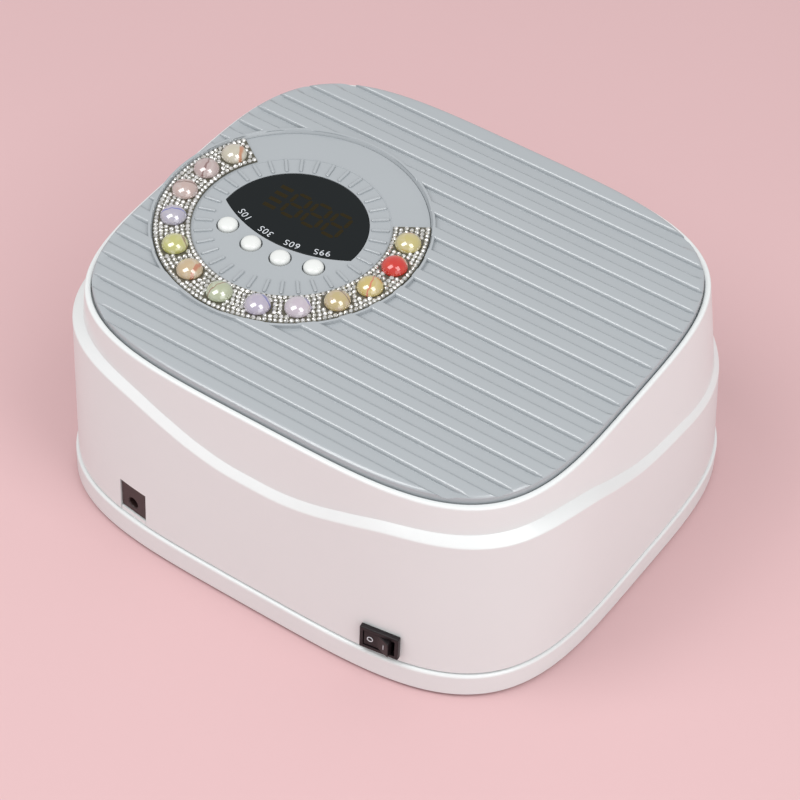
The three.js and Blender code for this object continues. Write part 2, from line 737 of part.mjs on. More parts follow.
function buttons() {
  const group = new THREE.Group();
  const { radius, top } = BUTTON;
  const flangeTop = PANEL.bottom - 0.4;
  const cap = [
    [0, -4.4], [2.6, -4.4], [2.6, flangeTop - 1.2], [radius + 1, flangeTop - 1.2],
    [radius + 1, flangeTop], [radius, flangeTop], [radius, top - 1.5],
    [radius * 0.8, top - 0.5], [radius * 0.4, top - 0.1], [0, top],
  ];
  for (const { name, x, y } of buttonPlaces) {
    group.add(piece(name, turned(cap, 14).translate(x, y, 0), WHITE));
  }
  return group;
}

function electronics() {
  const group = new THREE.Group();
  const { x, y } = DIAL;
  const boardLow = BOARD.top - BOARD.thickness;
  const sheet = block(
    [x - BOARD.halfX, y - BOARD.halfY, boardLow],
    [x + BOARD.halfX, y + BOARD.halfY, BOARD.top],
  );
  const holes = boardCorners.map(([cx, cy]) => post(cx, cy, 1.6, boardLow - 1, BOARD.top + 1, 8));
  group.add(piece("control_board", cut(sheet, ...holes), BOARD_GREEN));

  const displayY = y + DISPLAY.offsetY;
  const display = block(
    [x - DISPLAY.halfX, displayY - DISPLAY.halfY, BOARD.top + GAP],
    [x + DISPLAY.halfX, displayY + DISPLAY.halfY, DISPLAY.top],
  );
  group.add(piece("display_module", display, BLACK));

  for (const place of buttonPlaces) {
    const low = BOARD.top + GAP;
    const body = block([place.x - 3, place.y - 3, low], [place.x + 3, place.y + 3, low + 3.6]);
    const plunger = post(place.x, place.y, 1.7, low + 3, low + 4.6, 8);
    group.add(piece(place.name.replace("button", "tact_switch"), join(body, plunger), BLACK));
  }

  boardCorners.forEach(([cx, cy], index) => {
    const low = boardLow - GAP - 1.5;
    const screw = turned([[0, 0], [2.5, 0], [2.5, 1.5], [1.1, 1.5], [1.1, 7], [0, 7.6]], 10);
    group.add(piece("board_screw_" + (index + 1), screw.translate(cx, cy, low), STEEL));
  });
  return group;
}

function displayWindow() {
  const { floor } = DIAL;
  return piece("display_window", slab(windowShape(0), floor - WINDOW.thickness, floor), SMOKED);
}

// ---- Internal leads ----------------------------------------------------------------------

function lead(name, points, radius, finish) {
  const route = new THREE.CatmullRomCurve3(points.map((point) => new THREE.Vector3(...point)));
  const section = new THREE.Shape().absarc(0, 0, radius, 0, 2 * Math.PI, false);
  const steps = Math.ceil(route.getLength() / (radius * 7));
  const tube = new THREE.ExtrudeGeometry(section, { extrudePath: route, steps, curveSegments: 4 });
  return piece(name, tube, finish);
}

function leads() {
  const group = new THREE.Group();
  const socketToSwitch = [
    [51.4, 80, 20], [47, 77.4, 20.2], [30, 77, 20.6], [0, 77, 21], [-30, 77, 20.6],
    [-48, 76.6, 20], [-54.3, 78, 19.2],
  ];
  const switchToBoard = [
    [-57.6, 77.6, 20.6], [-60, 77.4, 34], [-58, 79, 54], [-46, 76, 72],
    [-26, 62, 80.2], [-8, 44, 81], [8.8, 30, 81],
  ];
  const boardToLamps = [[9.4, -15, 82.6], [0, -15, 82.4], [-8, -15, 80.6], [-9.5, -15, 77.2]];
  group.add(lead("lead_socket_to_switch", socketToSwitch, 1.1, LEAD_RED));
  group.add(lead("lead_switch_to_board", switchToBoard, 1.1, LEAD_RED));
  group.add(lead("lead_board_to_lamps", boardToLamps, 1, LEAD_RED));
  return group;
}

// ---- Assembly ----------------------------------------------------------------------------

const lamp = new THREE.Group();
const deck = new THREE.Group();
deck.position.z = RIM_HEIGHT;
deck.rotation.x = -Math.atan(TOP_SLOPE);
deck.updateMatrixWorld(true);
deck.add(topPanel(), dialDisc(), gemBand(), pearls(), displayWindow(), buttons(), electronics());
lamp.add(baseTray(), casing(deck), bottomFrame(), fasteners(), reflectorLiner(), lampBoards());
lamp.add(sensorLens(), dcJack(), switchAssembly(), leads(), deck);

export default lamp;
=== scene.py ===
"""Looks of the nail lamp: white casing, ribbed grey top, jewelled dial and loose base tray.

Sizes are in millimetres and become metres in new_object. Pieces on the sloping top are drawn
in the frame of the rim plane and carried into place by DECK.
"""

import json
import math

import bmesh
import bpy
from mathutils import Matrix, Vector


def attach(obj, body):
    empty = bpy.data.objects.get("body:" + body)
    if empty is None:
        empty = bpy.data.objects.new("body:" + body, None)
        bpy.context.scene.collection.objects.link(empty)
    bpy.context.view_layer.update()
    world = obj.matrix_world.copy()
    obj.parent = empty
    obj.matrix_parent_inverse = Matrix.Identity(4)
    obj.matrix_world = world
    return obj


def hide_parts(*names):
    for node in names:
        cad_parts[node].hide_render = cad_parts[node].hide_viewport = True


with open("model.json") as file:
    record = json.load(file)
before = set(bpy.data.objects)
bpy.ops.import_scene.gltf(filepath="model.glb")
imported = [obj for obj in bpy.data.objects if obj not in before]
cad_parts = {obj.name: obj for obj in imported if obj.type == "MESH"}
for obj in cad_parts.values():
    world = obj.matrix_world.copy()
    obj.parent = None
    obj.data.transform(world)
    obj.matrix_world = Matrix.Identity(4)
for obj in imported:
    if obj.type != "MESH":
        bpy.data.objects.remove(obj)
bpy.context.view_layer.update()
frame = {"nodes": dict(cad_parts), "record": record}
bpy.context.scene.view_settings.view_transform = "Standard"

MM = 0.001
GAP = 0.3

# Outlines and walls: half width, reach to the rear, reach to the front
OUTLINE_POWER = 3.97
OUTLINE_STEPS = 320
UPPER_FOOT, UPPER_RIM = (107.7, 93.0, 93.6), (100.0, 90.4, 80.6)
LOWER_FOOT, LOWER_RIM = (106.2, 94.8, 94.6), (104.8, 93.2, 82.5)
TRAY_HALF = (107.0, 95.8, 95.8)
TRAY_BOTTOM, TRAY_TOP, TRAY_EDGE = 1.0, 11.0, 1.1
TRAY_WALL, TRAY_POCKET_TOP, TRAY_FOOT_EDGE = 2.9, 8.5, 0.8
PLATE_INSET, PLATE_THICKNESS = 6.0, 0.6
CASING_BOTTOM = 11.5
WALL = 2.4
RIM_HEIGHT = 92.9
TOP_SLOPE = 0.043
RIM_EDGE = 0.9
RIM_WIDTH = 2.0
SHOULDER = (
    (0, 64.0), (8, 64.4), (16, 66.8), (24, 70.8), (32, 74.9), (40, 76.8), (54, 78.2), (64, 78.3),
    (72, 75.1), (80, 69.1), (90, 62.8), (104, 58.9), (116, 55.9), (128, 57.3), (142, 68.3),
    (156, 78.3), (180, 81.3),
)
SHOULDER_DROP = 3.1
# Down the shoulder from its foot to its crest: share of the drop, and of the step outwards
SHOULDER_PROFILE = (
    (1.0, 1.0), (0.92, 0.985), (0.84, 0.94), (0.76, 0.87), (0.4, 0.48), (0.06, 0.06), (0.0, 0.0),
)
DECK_TOP, DECK_BOTTOM = -2.0, -4.2
DECK = Matrix.Translation((0, 0, RIM_HEIGHT)) @ Matrix.Rotation(-math.atan(TOP_SLOPE), 4, "X")

# Ribbed panel
PANEL_INSET = 2.3
PANEL_BOTTOM, PANEL_FLOOR, PANEL_TOP = -1.7, 1.4, 3.0
PANEL_ROLL, ROLL_DROP = 2.5, 1.1
# Each channel: rounding at its front, sloping side at its rear, rising floor at its two ends
NEAR_EDGE = 1.1
FAR_SLOPE, FAR_FOOT = 2.4, 0.6
RUN_OUT, RUN_OUT_RISE, PAST_PANEL = 3.0, 0.9, 30
GROOVE_COUNT, GROOVE_FIRST, GROOVE_PITCH, GROOVE_WIDTH = 15, -71.0, 10.58, 4.5

# Dial
DIAL = Vector((46.5, 5.3, 0.0))
DIAL_RADIUS, DIAL_FLOOR, DIAL_RECESS, DIAL_BORDER = 50.0, 1.6, 50.4, 51.9
TICK_COUNT, TICK_INNER, TICK_OUTER = 36, 28.7, 35.4
TICK_CORNER, TICK_HEIGHT, TICK_EDGE = 0.62, 0.8, 0.5
LIP_RADIUS, LIP_HALF = 35.9, 0.2
WINDOW_RADIUS, WINDOW_ARC, WINDOW_OFFSET = 27.9, 51.2, 40.4
BAND_INNER, BAND_OUTER, BAND_HALF_SPAN = 36.6, 50.1, 123.3
PEARL_RING, PEARL_RADIUS, PEARL_HEIGHT, PEARL_BASE = 43.1, 4.8, 3.9, 2.2
GEM_ROWS, GEM_RADIUS, GEM_PITCH = 7, 0.92, 1.94
# Degrees round the dial from straight back, starting on the +X side
PEARL_TURNS = (-114, -97, -79, -60, -40, -21, 0, 20, 39, 58, 76, 94, 111)
BUTTON_NAMES = ("10s", "30s", "60s", "99s")
BUTTON_ARC, BUTTON_SPACING, BUTTON_RADIUS, BUTTON_TOP = 56.8, 13.1, 3.7, 3.5
BUTTON_HOLE, BUTTON_DOME, BUTTON_STEM, BUTTON_FLANGE = 4.2, 1.7, 2.6, 0.9
LABEL_ARC, LABEL_SPACING, LABEL_SIZE, LABEL_LINE = 48.6, 13.8, 4.0, 0.03
# The unlit digits, and the column of bars beside them
DIGIT_PLACES, DIGIT_Y, DIGIT_HALF_X, DIGIT_HALF_Y = (-13.1, -4.1, 4.9), -9.3, 3.1, 5.9
DIGIT_BAR, DIGIT_UPRIGHT, DIGIT_STROKE = 5.4, 5.2, 1.5
LEVEL_COUNT, LEVEL_LEFT, LEVEL_RIGHT, LEVEL_HALF, LEVEL_PITCH = 4, 10.4, 15.6, 0.9, 3.7

# Rear fittings
JACK_X, JACK_TURN, JACK_Z, JACK_WIDTH, JACK_HEIGHT = 53.0, -7.1, 20.3, 12.3, 13.0
JACK_FACE, JACK_DEPTH = -0.6, 11.6
JACK_HOLE_X, JACK_HOLE_Z, JACK_HOLE = 0.4, 18.4, 2.2
SWITCH_X, SWITCH_TURN, SWITCH_Z = -56.4, 8.7, 19.2
# Half width and half height of the bezel, the body behind it, its well and its hole in the wall
BEZEL, SWITCH_BODY, SWITCH_WELL, SWITCH_CUT = (7.5, 5.25), (6.7, 4.4), (6.1, 3.7), (7, 4.7)
ROCKER_HALF, ROCKER_RISE, ROCKER_CENTRE, ROCKER_HEIGHT = 5.3, 3.4, 2.2, 6.8
ROCKER_PIVOT, ROCKER_REST = -0.5, -12.0
# The marks O and I on the two ends of the rocker
MARK_X, MARK_OUTER, MARK_INNER, MARK_HALF, MARK_LINE = 2.9, 1.15, 0.85, 1.0, 0.15
MARK_LOW, MARK_TOP = -0.3, 0.06

# Hand chamber
CHAMBER_HALF, CHAMBER_TOP, CHAMBER_CORNER, CHAMBER_REAR, CHAMBER_SKIN = 80.0, 71.0, 26.0, 72.0, 1.6
LED_HOLE, LED_RADIUS, LED_REACH = 3.8, 3.4, 4.8
BOARD_AWAY, BOARD_THICKNESS = 4.0, 1.6
# Lamp places: across and along the ceiling, along and up the sides, across and up the rear
CEILING_LAMPS = (-46, -16, 16, 46), (-60, -22, 16, 54)
SIDE_LAMPS = (-45, 0, 45), (25, 39)
REAR_LAMPS = (-48, -24, 0, 24, 48), (41,)
SENSOR_RADIUS, SENSOR_Y = 3.7, -66

# Lights: name, place and width in metres, and power in watts
LIGHTS = (
    ("left_box", (0.34, 0.48, 1.0), 0.46, 4.6),
    ("right_box", (-0.62, 0.16, 0.98), 0.46, 3.8),
    ("fill", (-1.35, 0.75, 0.42), 1.1, 6.0),
)
LIGHT_LENGTH = 1.6
SKY_COLOUR, SKY_STRENGTH = (1.0, 0.985, 0.985, 1.0), 0.68

# Camera: degrees, then millimetres from the origin and across the line of sight, then its lens
CAMERA_AZIMUTH, CAMERA_ELEVATION, CAMERA_ROLL = 212.83, 44.9, 2.68
CAMERA_DISTANCE, CAMERA_RIGHT, CAMERA_UP, CAMERA_LENS = 1040.43, 0.83, 20.34, 123.29


# ---- Curves and outlines ----------------------------------------------------------------


def outline_point(angle, reach, inset=0.0):
    """The point of a rounded outline at an angle."""
    half_x, rear, front = reach
    across = abs(math.cos(angle) / (half_x - inset)) ** OUTLINE_POWER
    along = abs(math.sin(angle) / ((rear + front) / 2 - inset)) ** OUTLINE_POWER
    radius = (across + along) ** (-1 / OUTLINE_POWER)
    return radius * math.cos(angle), (rear - front) / 2 + radius * math.sin(angle)


ANGLES = [2 * math.pi * step / OUTLINE_STEPS for step in range(OUTLINE_STEPS)]


def level_ring(reach, inset, height):
    """A rounded outline at one height, drawn in by an inset."""
    return [(*outline_point(angle, reach, inset), height) for angle in ANGLES]


def rim_ring(inset, offset):
    """A ring parallel to the rim plane, offset above it."""
    flat = [outline_point(angle, UPPER_RIM, inset) for angle in ANGLES]
    return [(x, y, RIM_HEIGHT - TOP_SLOPE * y + offset) for x, y in flat]


def shoulder_height(angle):
    """The height of the shoulder line: a smooth curve through its named heights."""
    from_rear = abs((math.degrees(angle) - 90 + 540) % 360 - 180)
    last = len(SHOULDER) - 1
    after = next(i for i, (at, _) in enumerate(SHOULDER) if at >= from_rear)
    after = max(1, after)

    def slope(index):
        if index in (0, last):
            return 0.0
        (before_at, before), (after_at, height) = SHOULDER[index - 1], SHOULDER[index + 1]
        return (height - before) / (after_at - before_at)

    (start_at, start), (end_at, end) = SHOULDER[after - 1], SHOULDER[after]
    span = end_at - start_at
    t = (from_rear - start_at) / span
    bend = slope(after - 1) * (1 - t) - slope(after) * t
    return start + (end - start) * t * t * (3 - 2 * t) + span * t * (1 - t) * bend


def wall_point(angle, height, step_out, inset=0.0):
    """A point of the outer wall: step_out is 0 on the upper wall and 1 on the lower wall."""
    top = RIM_HEIGHT - TOP_SLOPE * outline_point(angle, UPPER_RIM)[1]
    share = (height - CASING_BOTTOM) / (top - CASING_BOTTOM)
    reach = []
    for axis in range(3):
        upper = UPPER_FOOT[axis] + (UPPER_RIM[axis] - UPPER_FOOT[axis]) * share
        lower = LOWER_FOOT[axis] + (LOWER_RIM[axis] - LOWER_FOOT[axis]) * share
        reach.append(upper + (lower - upper) * step_out)
    return (*outline_point(angle, reach, inset), height)


def arc(centre, radius, start, end, steps):
    """Points of an arc, angles in degrees."""
    turns = [math.radians(start + (end - start) * step / steps) for step in range(steps + 1)]
    return [(centre[0] + radius * math.cos(t), centre[1] + radius * math.sin(t)) for t in turns]


def quarter_turn(steps):
    """Pairs of 1 - cosine and 1 - sine over a quarter turn, to round an edge with."""
    turns = [math.pi / 2 * step / steps for step in range(steps + 1)]
    return [(1 - math.cos(turn), 1 - math.sin(turn)) for turn in turns]


# ---- Solids -----------------------------------------------------------------------------


def stack(rings):
    """A closed solid through rings of equally many points."""
    count = len(rings[0])
    verts = [point for ring in rings for point in ring]
    faces = []
    for start in range(0, len(verts) - count, count):
        for i in range(count):
            j = (i + 1) % count
            faces.append((start + i, start + j, start + count + j, start + count + i))
    faces.append(tuple(range(count - 1, -1, -1)))
    faces.append(tuple(range(len(verts) - count, len(verts))))
    return verts, faces


def loop(rings):
    """A closed ring-shaped solid: the last ring of points is joined to the first."""
    verts, faces = stack(rings)
    count = len(rings[0])
    last = len(verts) - count
    faces = faces[:-2]
    faces += [(last + i, last + (i + 1) % count, (i + 1) % count, i) for i in range(count)]
    return verts, faces


def hoop(section, centre, steps):
    """A closed ring-shaped solid: (radius, height) pairs carried round a centre."""
    last = 360 - 360 / steps
    return loop([[(*point, z) for point in arc(centre, r, 0, last, steps - 1)] for r, z in section])


def together(solids):
    """Several solids as one."""
    verts, faces = [], []
    for more_verts, more_faces in solids:
        start = len(verts)
        verts.extend(more_verts)
        faces.extend(tuple(index + start for index in face) for face in more_faces)
    return verts, faces


def moved(solid, matrix):
    """A solid carried into another frame."""
    verts, faces = solid
    return [tuple(matrix @ Vector(point)) for point in verts], faces


def prism(outline, low, high):
    """An outline drawn straight up from one height to another."""
    return stack([[(x, y, low) for x, y in outline], [(x, y, high) for x, y in outline]])


def spun(profile, steps=48):
    """A solid of revolution about Z from (radius, height) pairs, lowest first."""
    turns = [2 * math.pi * step / steps for step in range(steps)]
    return stack([[(r * math.cos(t), r * math.sin(t), z) for t in turns] for r, z in profile])


def rounded_slab(core, corner, low, top, edge, steps=5):
    """A slab round a convex core outline grown by a corner radius, its upper edge rounded."""
    points, normals = [], []
    count = len(core)
    for i, here in enumerate(core):
        before, after = core[i - 1], core[(i + 1) % count]
        start = math.atan2(before[0] - here[0], here[1] - before[1])
        end = math.atan2(here[0] - after[0], after[1] - here[1])
        sweep = (end - start + math.pi) % (2 * math.pi) - math.pi
        pieces = max(1, math.ceil(math.degrees(abs(sweep)) / 12))
        for piece in range(pieces + 1):
            turn = start + sweep * piece / pieces
            points.append(here)
            normals.append((math.cos(turn), math.sin(turn)))
    levels = [(0.0, low), (0.0, top - edge)]
    for step in range(1, steps + 1):
        turn = math.pi / 2 * step / steps
        levels.append((edge * (1 - math.cos(turn)), top - edge * (1 - math.sin(turn))))
    rings = []
    for inset, height in levels:
        ring = []
        for (x, y), (nx, ny) in zip(points, normals):
            px, py = x + nx * (corner - inset), y + ny * (corner - inset)
            ring.append((px, py, height))
        rings.append(ring)
    return stack(rings)


def box(low, high, edge=0.0, segments=3):
    """A box between two corners, with rounded edges."""
    shape = bmesh.new()
    bmesh.ops.create_cube(shape, size=1)
    size = [b - a for a, b in zip(low, high)]
    middle = [(a + b) / 2 for a, b in zip(low, high)]
    for vert in shape.verts:
        vert.co = [middle[axis] + vert.co[axis] * size[axis] for axis in range(3)]
    if edge:
        bmesh.ops.bevel(
            shape, geom=shape.edges, offset=edge, segments=segments, profile=0.5, affect="EDGES"
        )
    shape.verts.index_update()
    verts = [tuple(vert.co) for vert in shape.verts]
    faces = [tuple(vert.index for vert in face.verts) for face in shape.faces]
    shape.free()
    return verts, faces


def new_object(name, solid):
    """A mesh object in metres from a solid in millimetres, faces turned outwards."""
    verts, faces = solid
    mesh = bpy.data.meshes.new(name)
    mesh.from_pydata([Vector(point) * MM for point in verts], [], faces)
    shape = bmesh.new()
    shape.from_mesh(mesh)
    bmesh.ops.recalc_face_normals(shape, faces=shape.faces)
    shape.to_mesh(mesh)
    shape.free()
    made = bpy.data.objects.new(name, mesh)
    bpy.context.scene.collection.objects.link(made)
    return made


def add_solid(made, name, solid):
    """Adds one more solid to an object's mesh, without cutting either."""
    extra = new_object(name, solid)
    both = bmesh.new()
    both.from_mesh(made.data)
    both.from_mesh(extra.data)
    both.to_mesh(made.data)
    both.free()
    bpy.data.objects.remove(extra)


def bake_modifiers(made):
    """Turns an object's modifiers into mesh."""
    depsgraph = bpy.context.evaluated_depsgraph_get()
    mesh = bpy.data.meshes.new_from_object(made.evaluated_get(depsgraph))
    made.modifiers.clear()
    made.data = mesh


def carve(made, *cutters):
    """Cuts solids out of an object."""
    tool = new_object("cutter", together(cutters))
    modifier = made.modifiers.new("cut", "BOOLEAN")
    modifier.operation = "DIFFERENCE"
    modifier.solver = "EXACT"
    modifier.use_self = True
    modifier.object = tool
    bake_modifiers(made)
    bpy.data.objects.remove(tool)


def round_edges(made, width, segments=3, angle=40):
    """Rounds every edge that turns by more than an angle in degrees."""
    modifier = made.modifiers.new("round", "BEVEL")
    modifier.width = width * MM
    modifier.segments = segments
    modifier.limit_method = "ANGLE"
    modifier.angle_limit = math.radians(angle)
    bake_modifiers(made)


def smooth(made, angle=32):
    """Shades an object smoothly, but for its sharp edges and its large flat faces."""
    mesh = made.data
    mesh.polygons.foreach_set("use_smooth", [True] * len(mesh.polygons))
    mesh.set_sharp_from_angle(angle=math.radians(angle))
    made.modifiers.new("flat_faces", "WEIGHTED_NORMAL").keep_sharp = True


def settle(made, material, body, slot, *nodes):
    """Gives a finished piece its material and its body, and hides the CAD nodes it stands for. The slot is
    not used.
    """
    smooth(made)
    made.data.materials.clear()
    made.data.materials.append(material)
    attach(made, body)
    if nodes:
        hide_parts(*nodes)
    return made


# ---- Materials --------------------------------------------------------------------------


def linear(red, green, blue):
    """A display colour of 0 to 255 as linear light."""
    values = []
    for channel in (red, green, blue):
        share = channel / 255
        values.append(share / 12.92 if share <= 0.04045 else ((share + 0.055) / 1.055) ** 2.4)
    return (*values, 1.0)


def surface(name, colour, roughness, tint=0.03, cloud=25.0, grain=1500.0, bump=0.03, metallic=0.0,
            coat=0.0, uneven=0.06, specular=0.5):
    """A surface with faint clouds of colour, uneven gloss and a fine grain."""
    material = bpy.data.materials.new(name)
    material.use_nodes = True
    nodes, links = material.node_tree.nodes, material.node_tree.links
    shader = nodes["Principled BSDF"]
    shader.inputs["Metallic"].default_value = metallic
    shader.inputs["Coat Weight"].default_value = coat
    shader.inputs["Coat Roughness"].default_value = 0.05
    shader.inputs["Specular IOR Level"].default_value = specular
    place = nodes.new("ShaderNodeTexCoord")

    clouds = nodes.new("ShaderNodeTexNoise")
    clouds.inputs["Scale"].default_value = cloud
    clouds.inputs["Detail"].default_value = 4.0
    links.new(place.outputs["Object"], clouds.inputs["Vector"])
    shades = nodes.new("ShaderNodeValToRGB")
    shades.color_ramp.elements[0].position = 0.3
    shades.color_ramp.elements[1].position = 0.7
    shades.color_ramp.elements[0].color = [min(1.0, c * (1 - tint)) for c in colour[:3]] + [1.0]
    shades.color_ramp.elements[1].color = [min(1.0, c * (1 + tint)) for c in colour[:3]] + [1.0]
    links.new(clouds.outputs["Fac"], shades.inputs["Fac"])
    links.new(shades.outputs["Color"], shader.inputs["Base Color"])

    fine = nodes.new("ShaderNodeTexNoise")
    fine.inputs["Scale"].default_value = grain
    fine.inputs["Detail"].default_value = 3.0
    links.new(place.outputs["Object"], fine.inputs["Vector"])
    gloss = nodes.new("ShaderNodeMapRange")
    gloss.inputs["To Min"].default_value = max(0.0, roughness - uneven)
    gloss.inputs["To Max"].default_value = min(1.0, roughness + uneven)
    links.new(fine.outputs["Fac"], gloss.inputs["Value"])
    links.new(gloss.outputs["Result"], shader.inputs["Roughness"])
    relief = nodes.new("ShaderNodeBump")
    relief.inputs["Strength"].default_value = bump
    relief.inputs["Distance"].default_value = 0.0002
    links.new(fine.outputs["Fac"], relief.inputs["Height"])
    links.new(relief.outputs["Normal"], shader.inputs["Normal"])
    return material


def pearl_surface(name, base, second, streak, turn, offset, width, polish=1.9):
    """A polished cabochon: two clouded tones with one bent streak across it."""
    material = surface(name, linear(*base), 0.16, coat=1.0, bump=0.0)
    nodes, links = material.node_tree.nodes, material.node_tree.links
    shader = nodes["Principled BSDF"]
    shader.inputs["IOR"].default_value = polish
    shader.inputs["Coat IOR"].default_value = polish
    place = nodes.new("ShaderNodeTexCoord")
    spot = nodes.new("ShaderNodeMapping")
    spot.inputs["Location"].default_value = (-0.5, -0.5, 0.0)
    links.new(place.outputs["Generated"], spot.inputs["Vector"])
    turned_spot = nodes.new("ShaderNodeMapping")
    turned_spot.inputs["Rotation"].default_value = (0.0, 0.0, math.radians(turn))
    links.new(spot.outputs["Vector"], turned_spot.inputs["Vector"])

    clouds = nodes.new("ShaderNodeTexNoise")
    clouds.inputs["Scale"].default_value = 1.6
    clouds.inputs["Detail"].default_value = 2.0
    clouds.inputs["Distortion"].default_value = 0.8
    links.new(turned_spot.outputs["Vector"], clouds.inputs["Vector"])
    tones = nodes.new("ShaderNodeValToRGB")
    tones.color_ramp.elements[0].position = 0.42
    tones.color_ramp.elements[1].position = 0.62
    tones.color_ramp.elements[0].color = linear(*base)
    tones.color_ramp.elements[1].color = linear(*second)
    links.new(clouds.outputs["Fac"], tones.inputs["Fac"])

    split = nodes.new("ShaderNodeSeparateXYZ")
    links.new(turned_spot.outputs["Vector"], split.inputs["Vector"])
    wobble = nodes.new("ShaderNodeMath")
    wobble.operation = "MULTIPLY_ADD"
    wobble.inputs[1].default_value = 0.3
    wobble.inputs[2].default_value = -0.15 - offset
    links.new(clouds.outputs["Fac"], wobble.inputs[0])
    across = nodes.new("ShaderNodeMath")
    across.operation = "ADD"
    links.new(split.outputs["X"], across.inputs[0])
    links.new(wobble.outputs["Value"], across.inputs[1])
    away = nodes.new("ShaderNodeMath")
    away.operation = "ABSOLUTE"
    links.new(across.outputs["Value"], away.inputs[0])
    band = nodes.new("ShaderNodeMapRange")
    band.interpolation_type = "SMOOTHSTEP"
    band.inputs["From Min"].default_value = width * 0.3
    band.inputs["From Max"].default_value = width
    band.inputs["To Min"].default_value = 0.9
    band.inputs["To Max"].default_value = 0.0
    links.new(away.outputs["Value"], band.inputs["Value"])
    mixed = nodes.new("ShaderNodeMix")
    mixed.data_type = "RGBA"
    links.new(band.outputs["Result"], mixed.inputs["Factor"])
    links.new(tones.outputs["Color"], mixed.inputs["A"])
    mixed.inputs["B"].default_value = linear(*streak)
    links.new(mixed.outputs["Result"], shader.inputs["Base Color"])
    return material


WHITE = surface("white_plastic", linear(222, 226, 226), 0.3, tint=0.008, coat=0.2, bump=0.0,
                uneven=0.02)
GREY = surface("grey_plastic", linear(162, 168, 172), 0.2, tint=0.01, bump=0.01, grain=2200.0,
               specular=1.0)
MIRROR = surface("reflector", linear(228, 230, 233), 0.3, metallic=0.5, cloud=60.0, bump=0.02)
RUBBER = surface("foot_rubber", linear(42, 42, 44), 0.85, bump=0.12)
STEEL = surface("steel", linear(160, 163, 166), 0.3, metallic=1.0, cloud=300.0, bump=0.05)
CIRCUIT = surface("circuit_board", linear(47, 107, 70), 0.45, tint=0.12, cloud=220.0, coat=0.4)
BLACK = surface("black_plastic", linear(28, 23, 25), 0.34, tint=0.08, bump=0.04, specular=0.3)
SOCKET = surface("socket_plastic", linear(46, 30, 30), 0.42, tint=0.08, bump=0.05)
SMOKED = surface("smoked_window", linear(16, 22, 24), 0.14, tint=0.05, bump=0.0, specular=0.2)
SETTING = surface("gem_setting", linear(106, 103, 90), 0.4, metallic=0.7, cloud=400.0, bump=0.1)
STONE = surface("gem_stone", linear(232, 232, 224), 0.12, metallic=0.8, cloud=900.0, tint=0.42,
                bump=0.0, uneven=0.04)
BUTTON = surface("button_white", linear(220, 223, 221), 0.3, tint=0.01, coat=0.2, bump=0.0)
LEAD = surface("lead_sleeve", linear(168, 50, 46), 0.5, tint=0.06)
INK = surface("label_white", linear(208, 213, 218), 0.5, tint=0.02, bump=0.0)
SEGMENT = surface("display_segments", linear(40, 33, 12), 0.4, tint=0.06, cloud=200.0, bump=0.0,
                  specular=0.1)
LENS = surface("lamp_lens", linear(238, 236, 214), 0.12, tint=0.06, cloud=250.0, coat=1.0, bump=0.0)
BRASS = surface("contact_pin", linear(196, 176, 128), 0.25, metallic=1.0, cloud=300.0)
# Each cabochon: its two tones, its streak, and the streak's turn, offset and width
PEARLS = (
    ((182, 176, 156), (192, 186, 172), (176, 104, 48), 150, 0.28, 0.10),
    ((170, 148, 146), (182, 168, 164), (104, 60, 56), 165, 0.02, 0.07),
    ((176, 152, 145), (186, 172, 168), (104, 62, 48), 60, 0.1, 0.07),
    ((160, 156, 174), (176, 172, 180), (64, 76, 168), 55, 0.02, 0.05),
    ((174, 174, 92), (190, 188, 138), (118, 84, 40), 120, 0.33, 0.05),
    ((182, 158, 118), (192, 176, 152), (170, 88, 40), 170, 0.3, 0.09),
    ((160, 168, 136), (176, 184, 158), (128, 84, 52), 20, 0.05, 0.04),
    ((164, 156, 176), (178, 170, 182), (80, 84, 160), 110, 0.3, 0.06),
    ((180, 168, 180), (190, 184, 190), (112, 98, 166), 110, 0.36, 0.06),
    ((174, 156, 100), (186, 164, 138), (98, 62, 24), 105, 0.24, 0.06),
    ((184, 164, 84), (192, 174, 122), (196, 84, 52), 165, 0.06, 0.05),
    ((188, 26, 8), (196, 52, 24), (196, 150, 130), 110, 0.4, 0.10, 1.55),
    ((180, 168, 96), (190, 178, 134), (190, 130, 70), 60, 0.3, 0.08),
)


# ---- Base tray --------------------------------------------------------------------------


def make_tray():
    """The tray, drawn from the roof of its underside round its wall to its recess, and its plate."""
    recess, easing = PLATE_INSET - GAP, 0.2
    levels = [(TRAY_WALL + 1, TRAY_POCKET_TOP), (TRAY_WALL, TRAY_POCKET_TOP - easing)]
    levels.append((TRAY_WALL, TRAY_BOTTOM))
    for rise, inset in quarter_turn(5):
        levels.append((TRAY_FOOT_EDGE * inset, TRAY_BOTTOM + TRAY_FOOT_EDGE * rise))
    for inset, drop in quarter_turn(9):
        levels.append((TRAY_EDGE * inset, TRAY_TOP - TRAY_EDGE * drop))
    levels += [(recess - easing, TRAY_TOP), (recess, TRAY_TOP - easing)]
    levels.append((recess, TRAY_TOP - PLATE_THICKNESS - GAP))
    rings = [level_ring(TRAY_HALF, inset, height) for inset, height in levels]
    tray = new_object("tray_shell", stack(rings))
    settle(tray, WHITE, "base_tray", "white_plastic", "base_tray")

    edge = 0.15
    levels = [(PLATE_INSET, TRAY_TOP - PLATE_THICKNESS), (PLATE_INSET, TRAY_TOP - edge)]
    levels.append((PLATE_INSET + edge, TRAY_TOP))
    rings = [level_ring(TRAY_HALF, inset, height) for inset, height in levels]
    settle(new_object("tray_plate", stack(rings)), MIRROR, "base_tray", "reflector", "floor_plate")


# ---- Casing -----------------------------------------------------------------------------


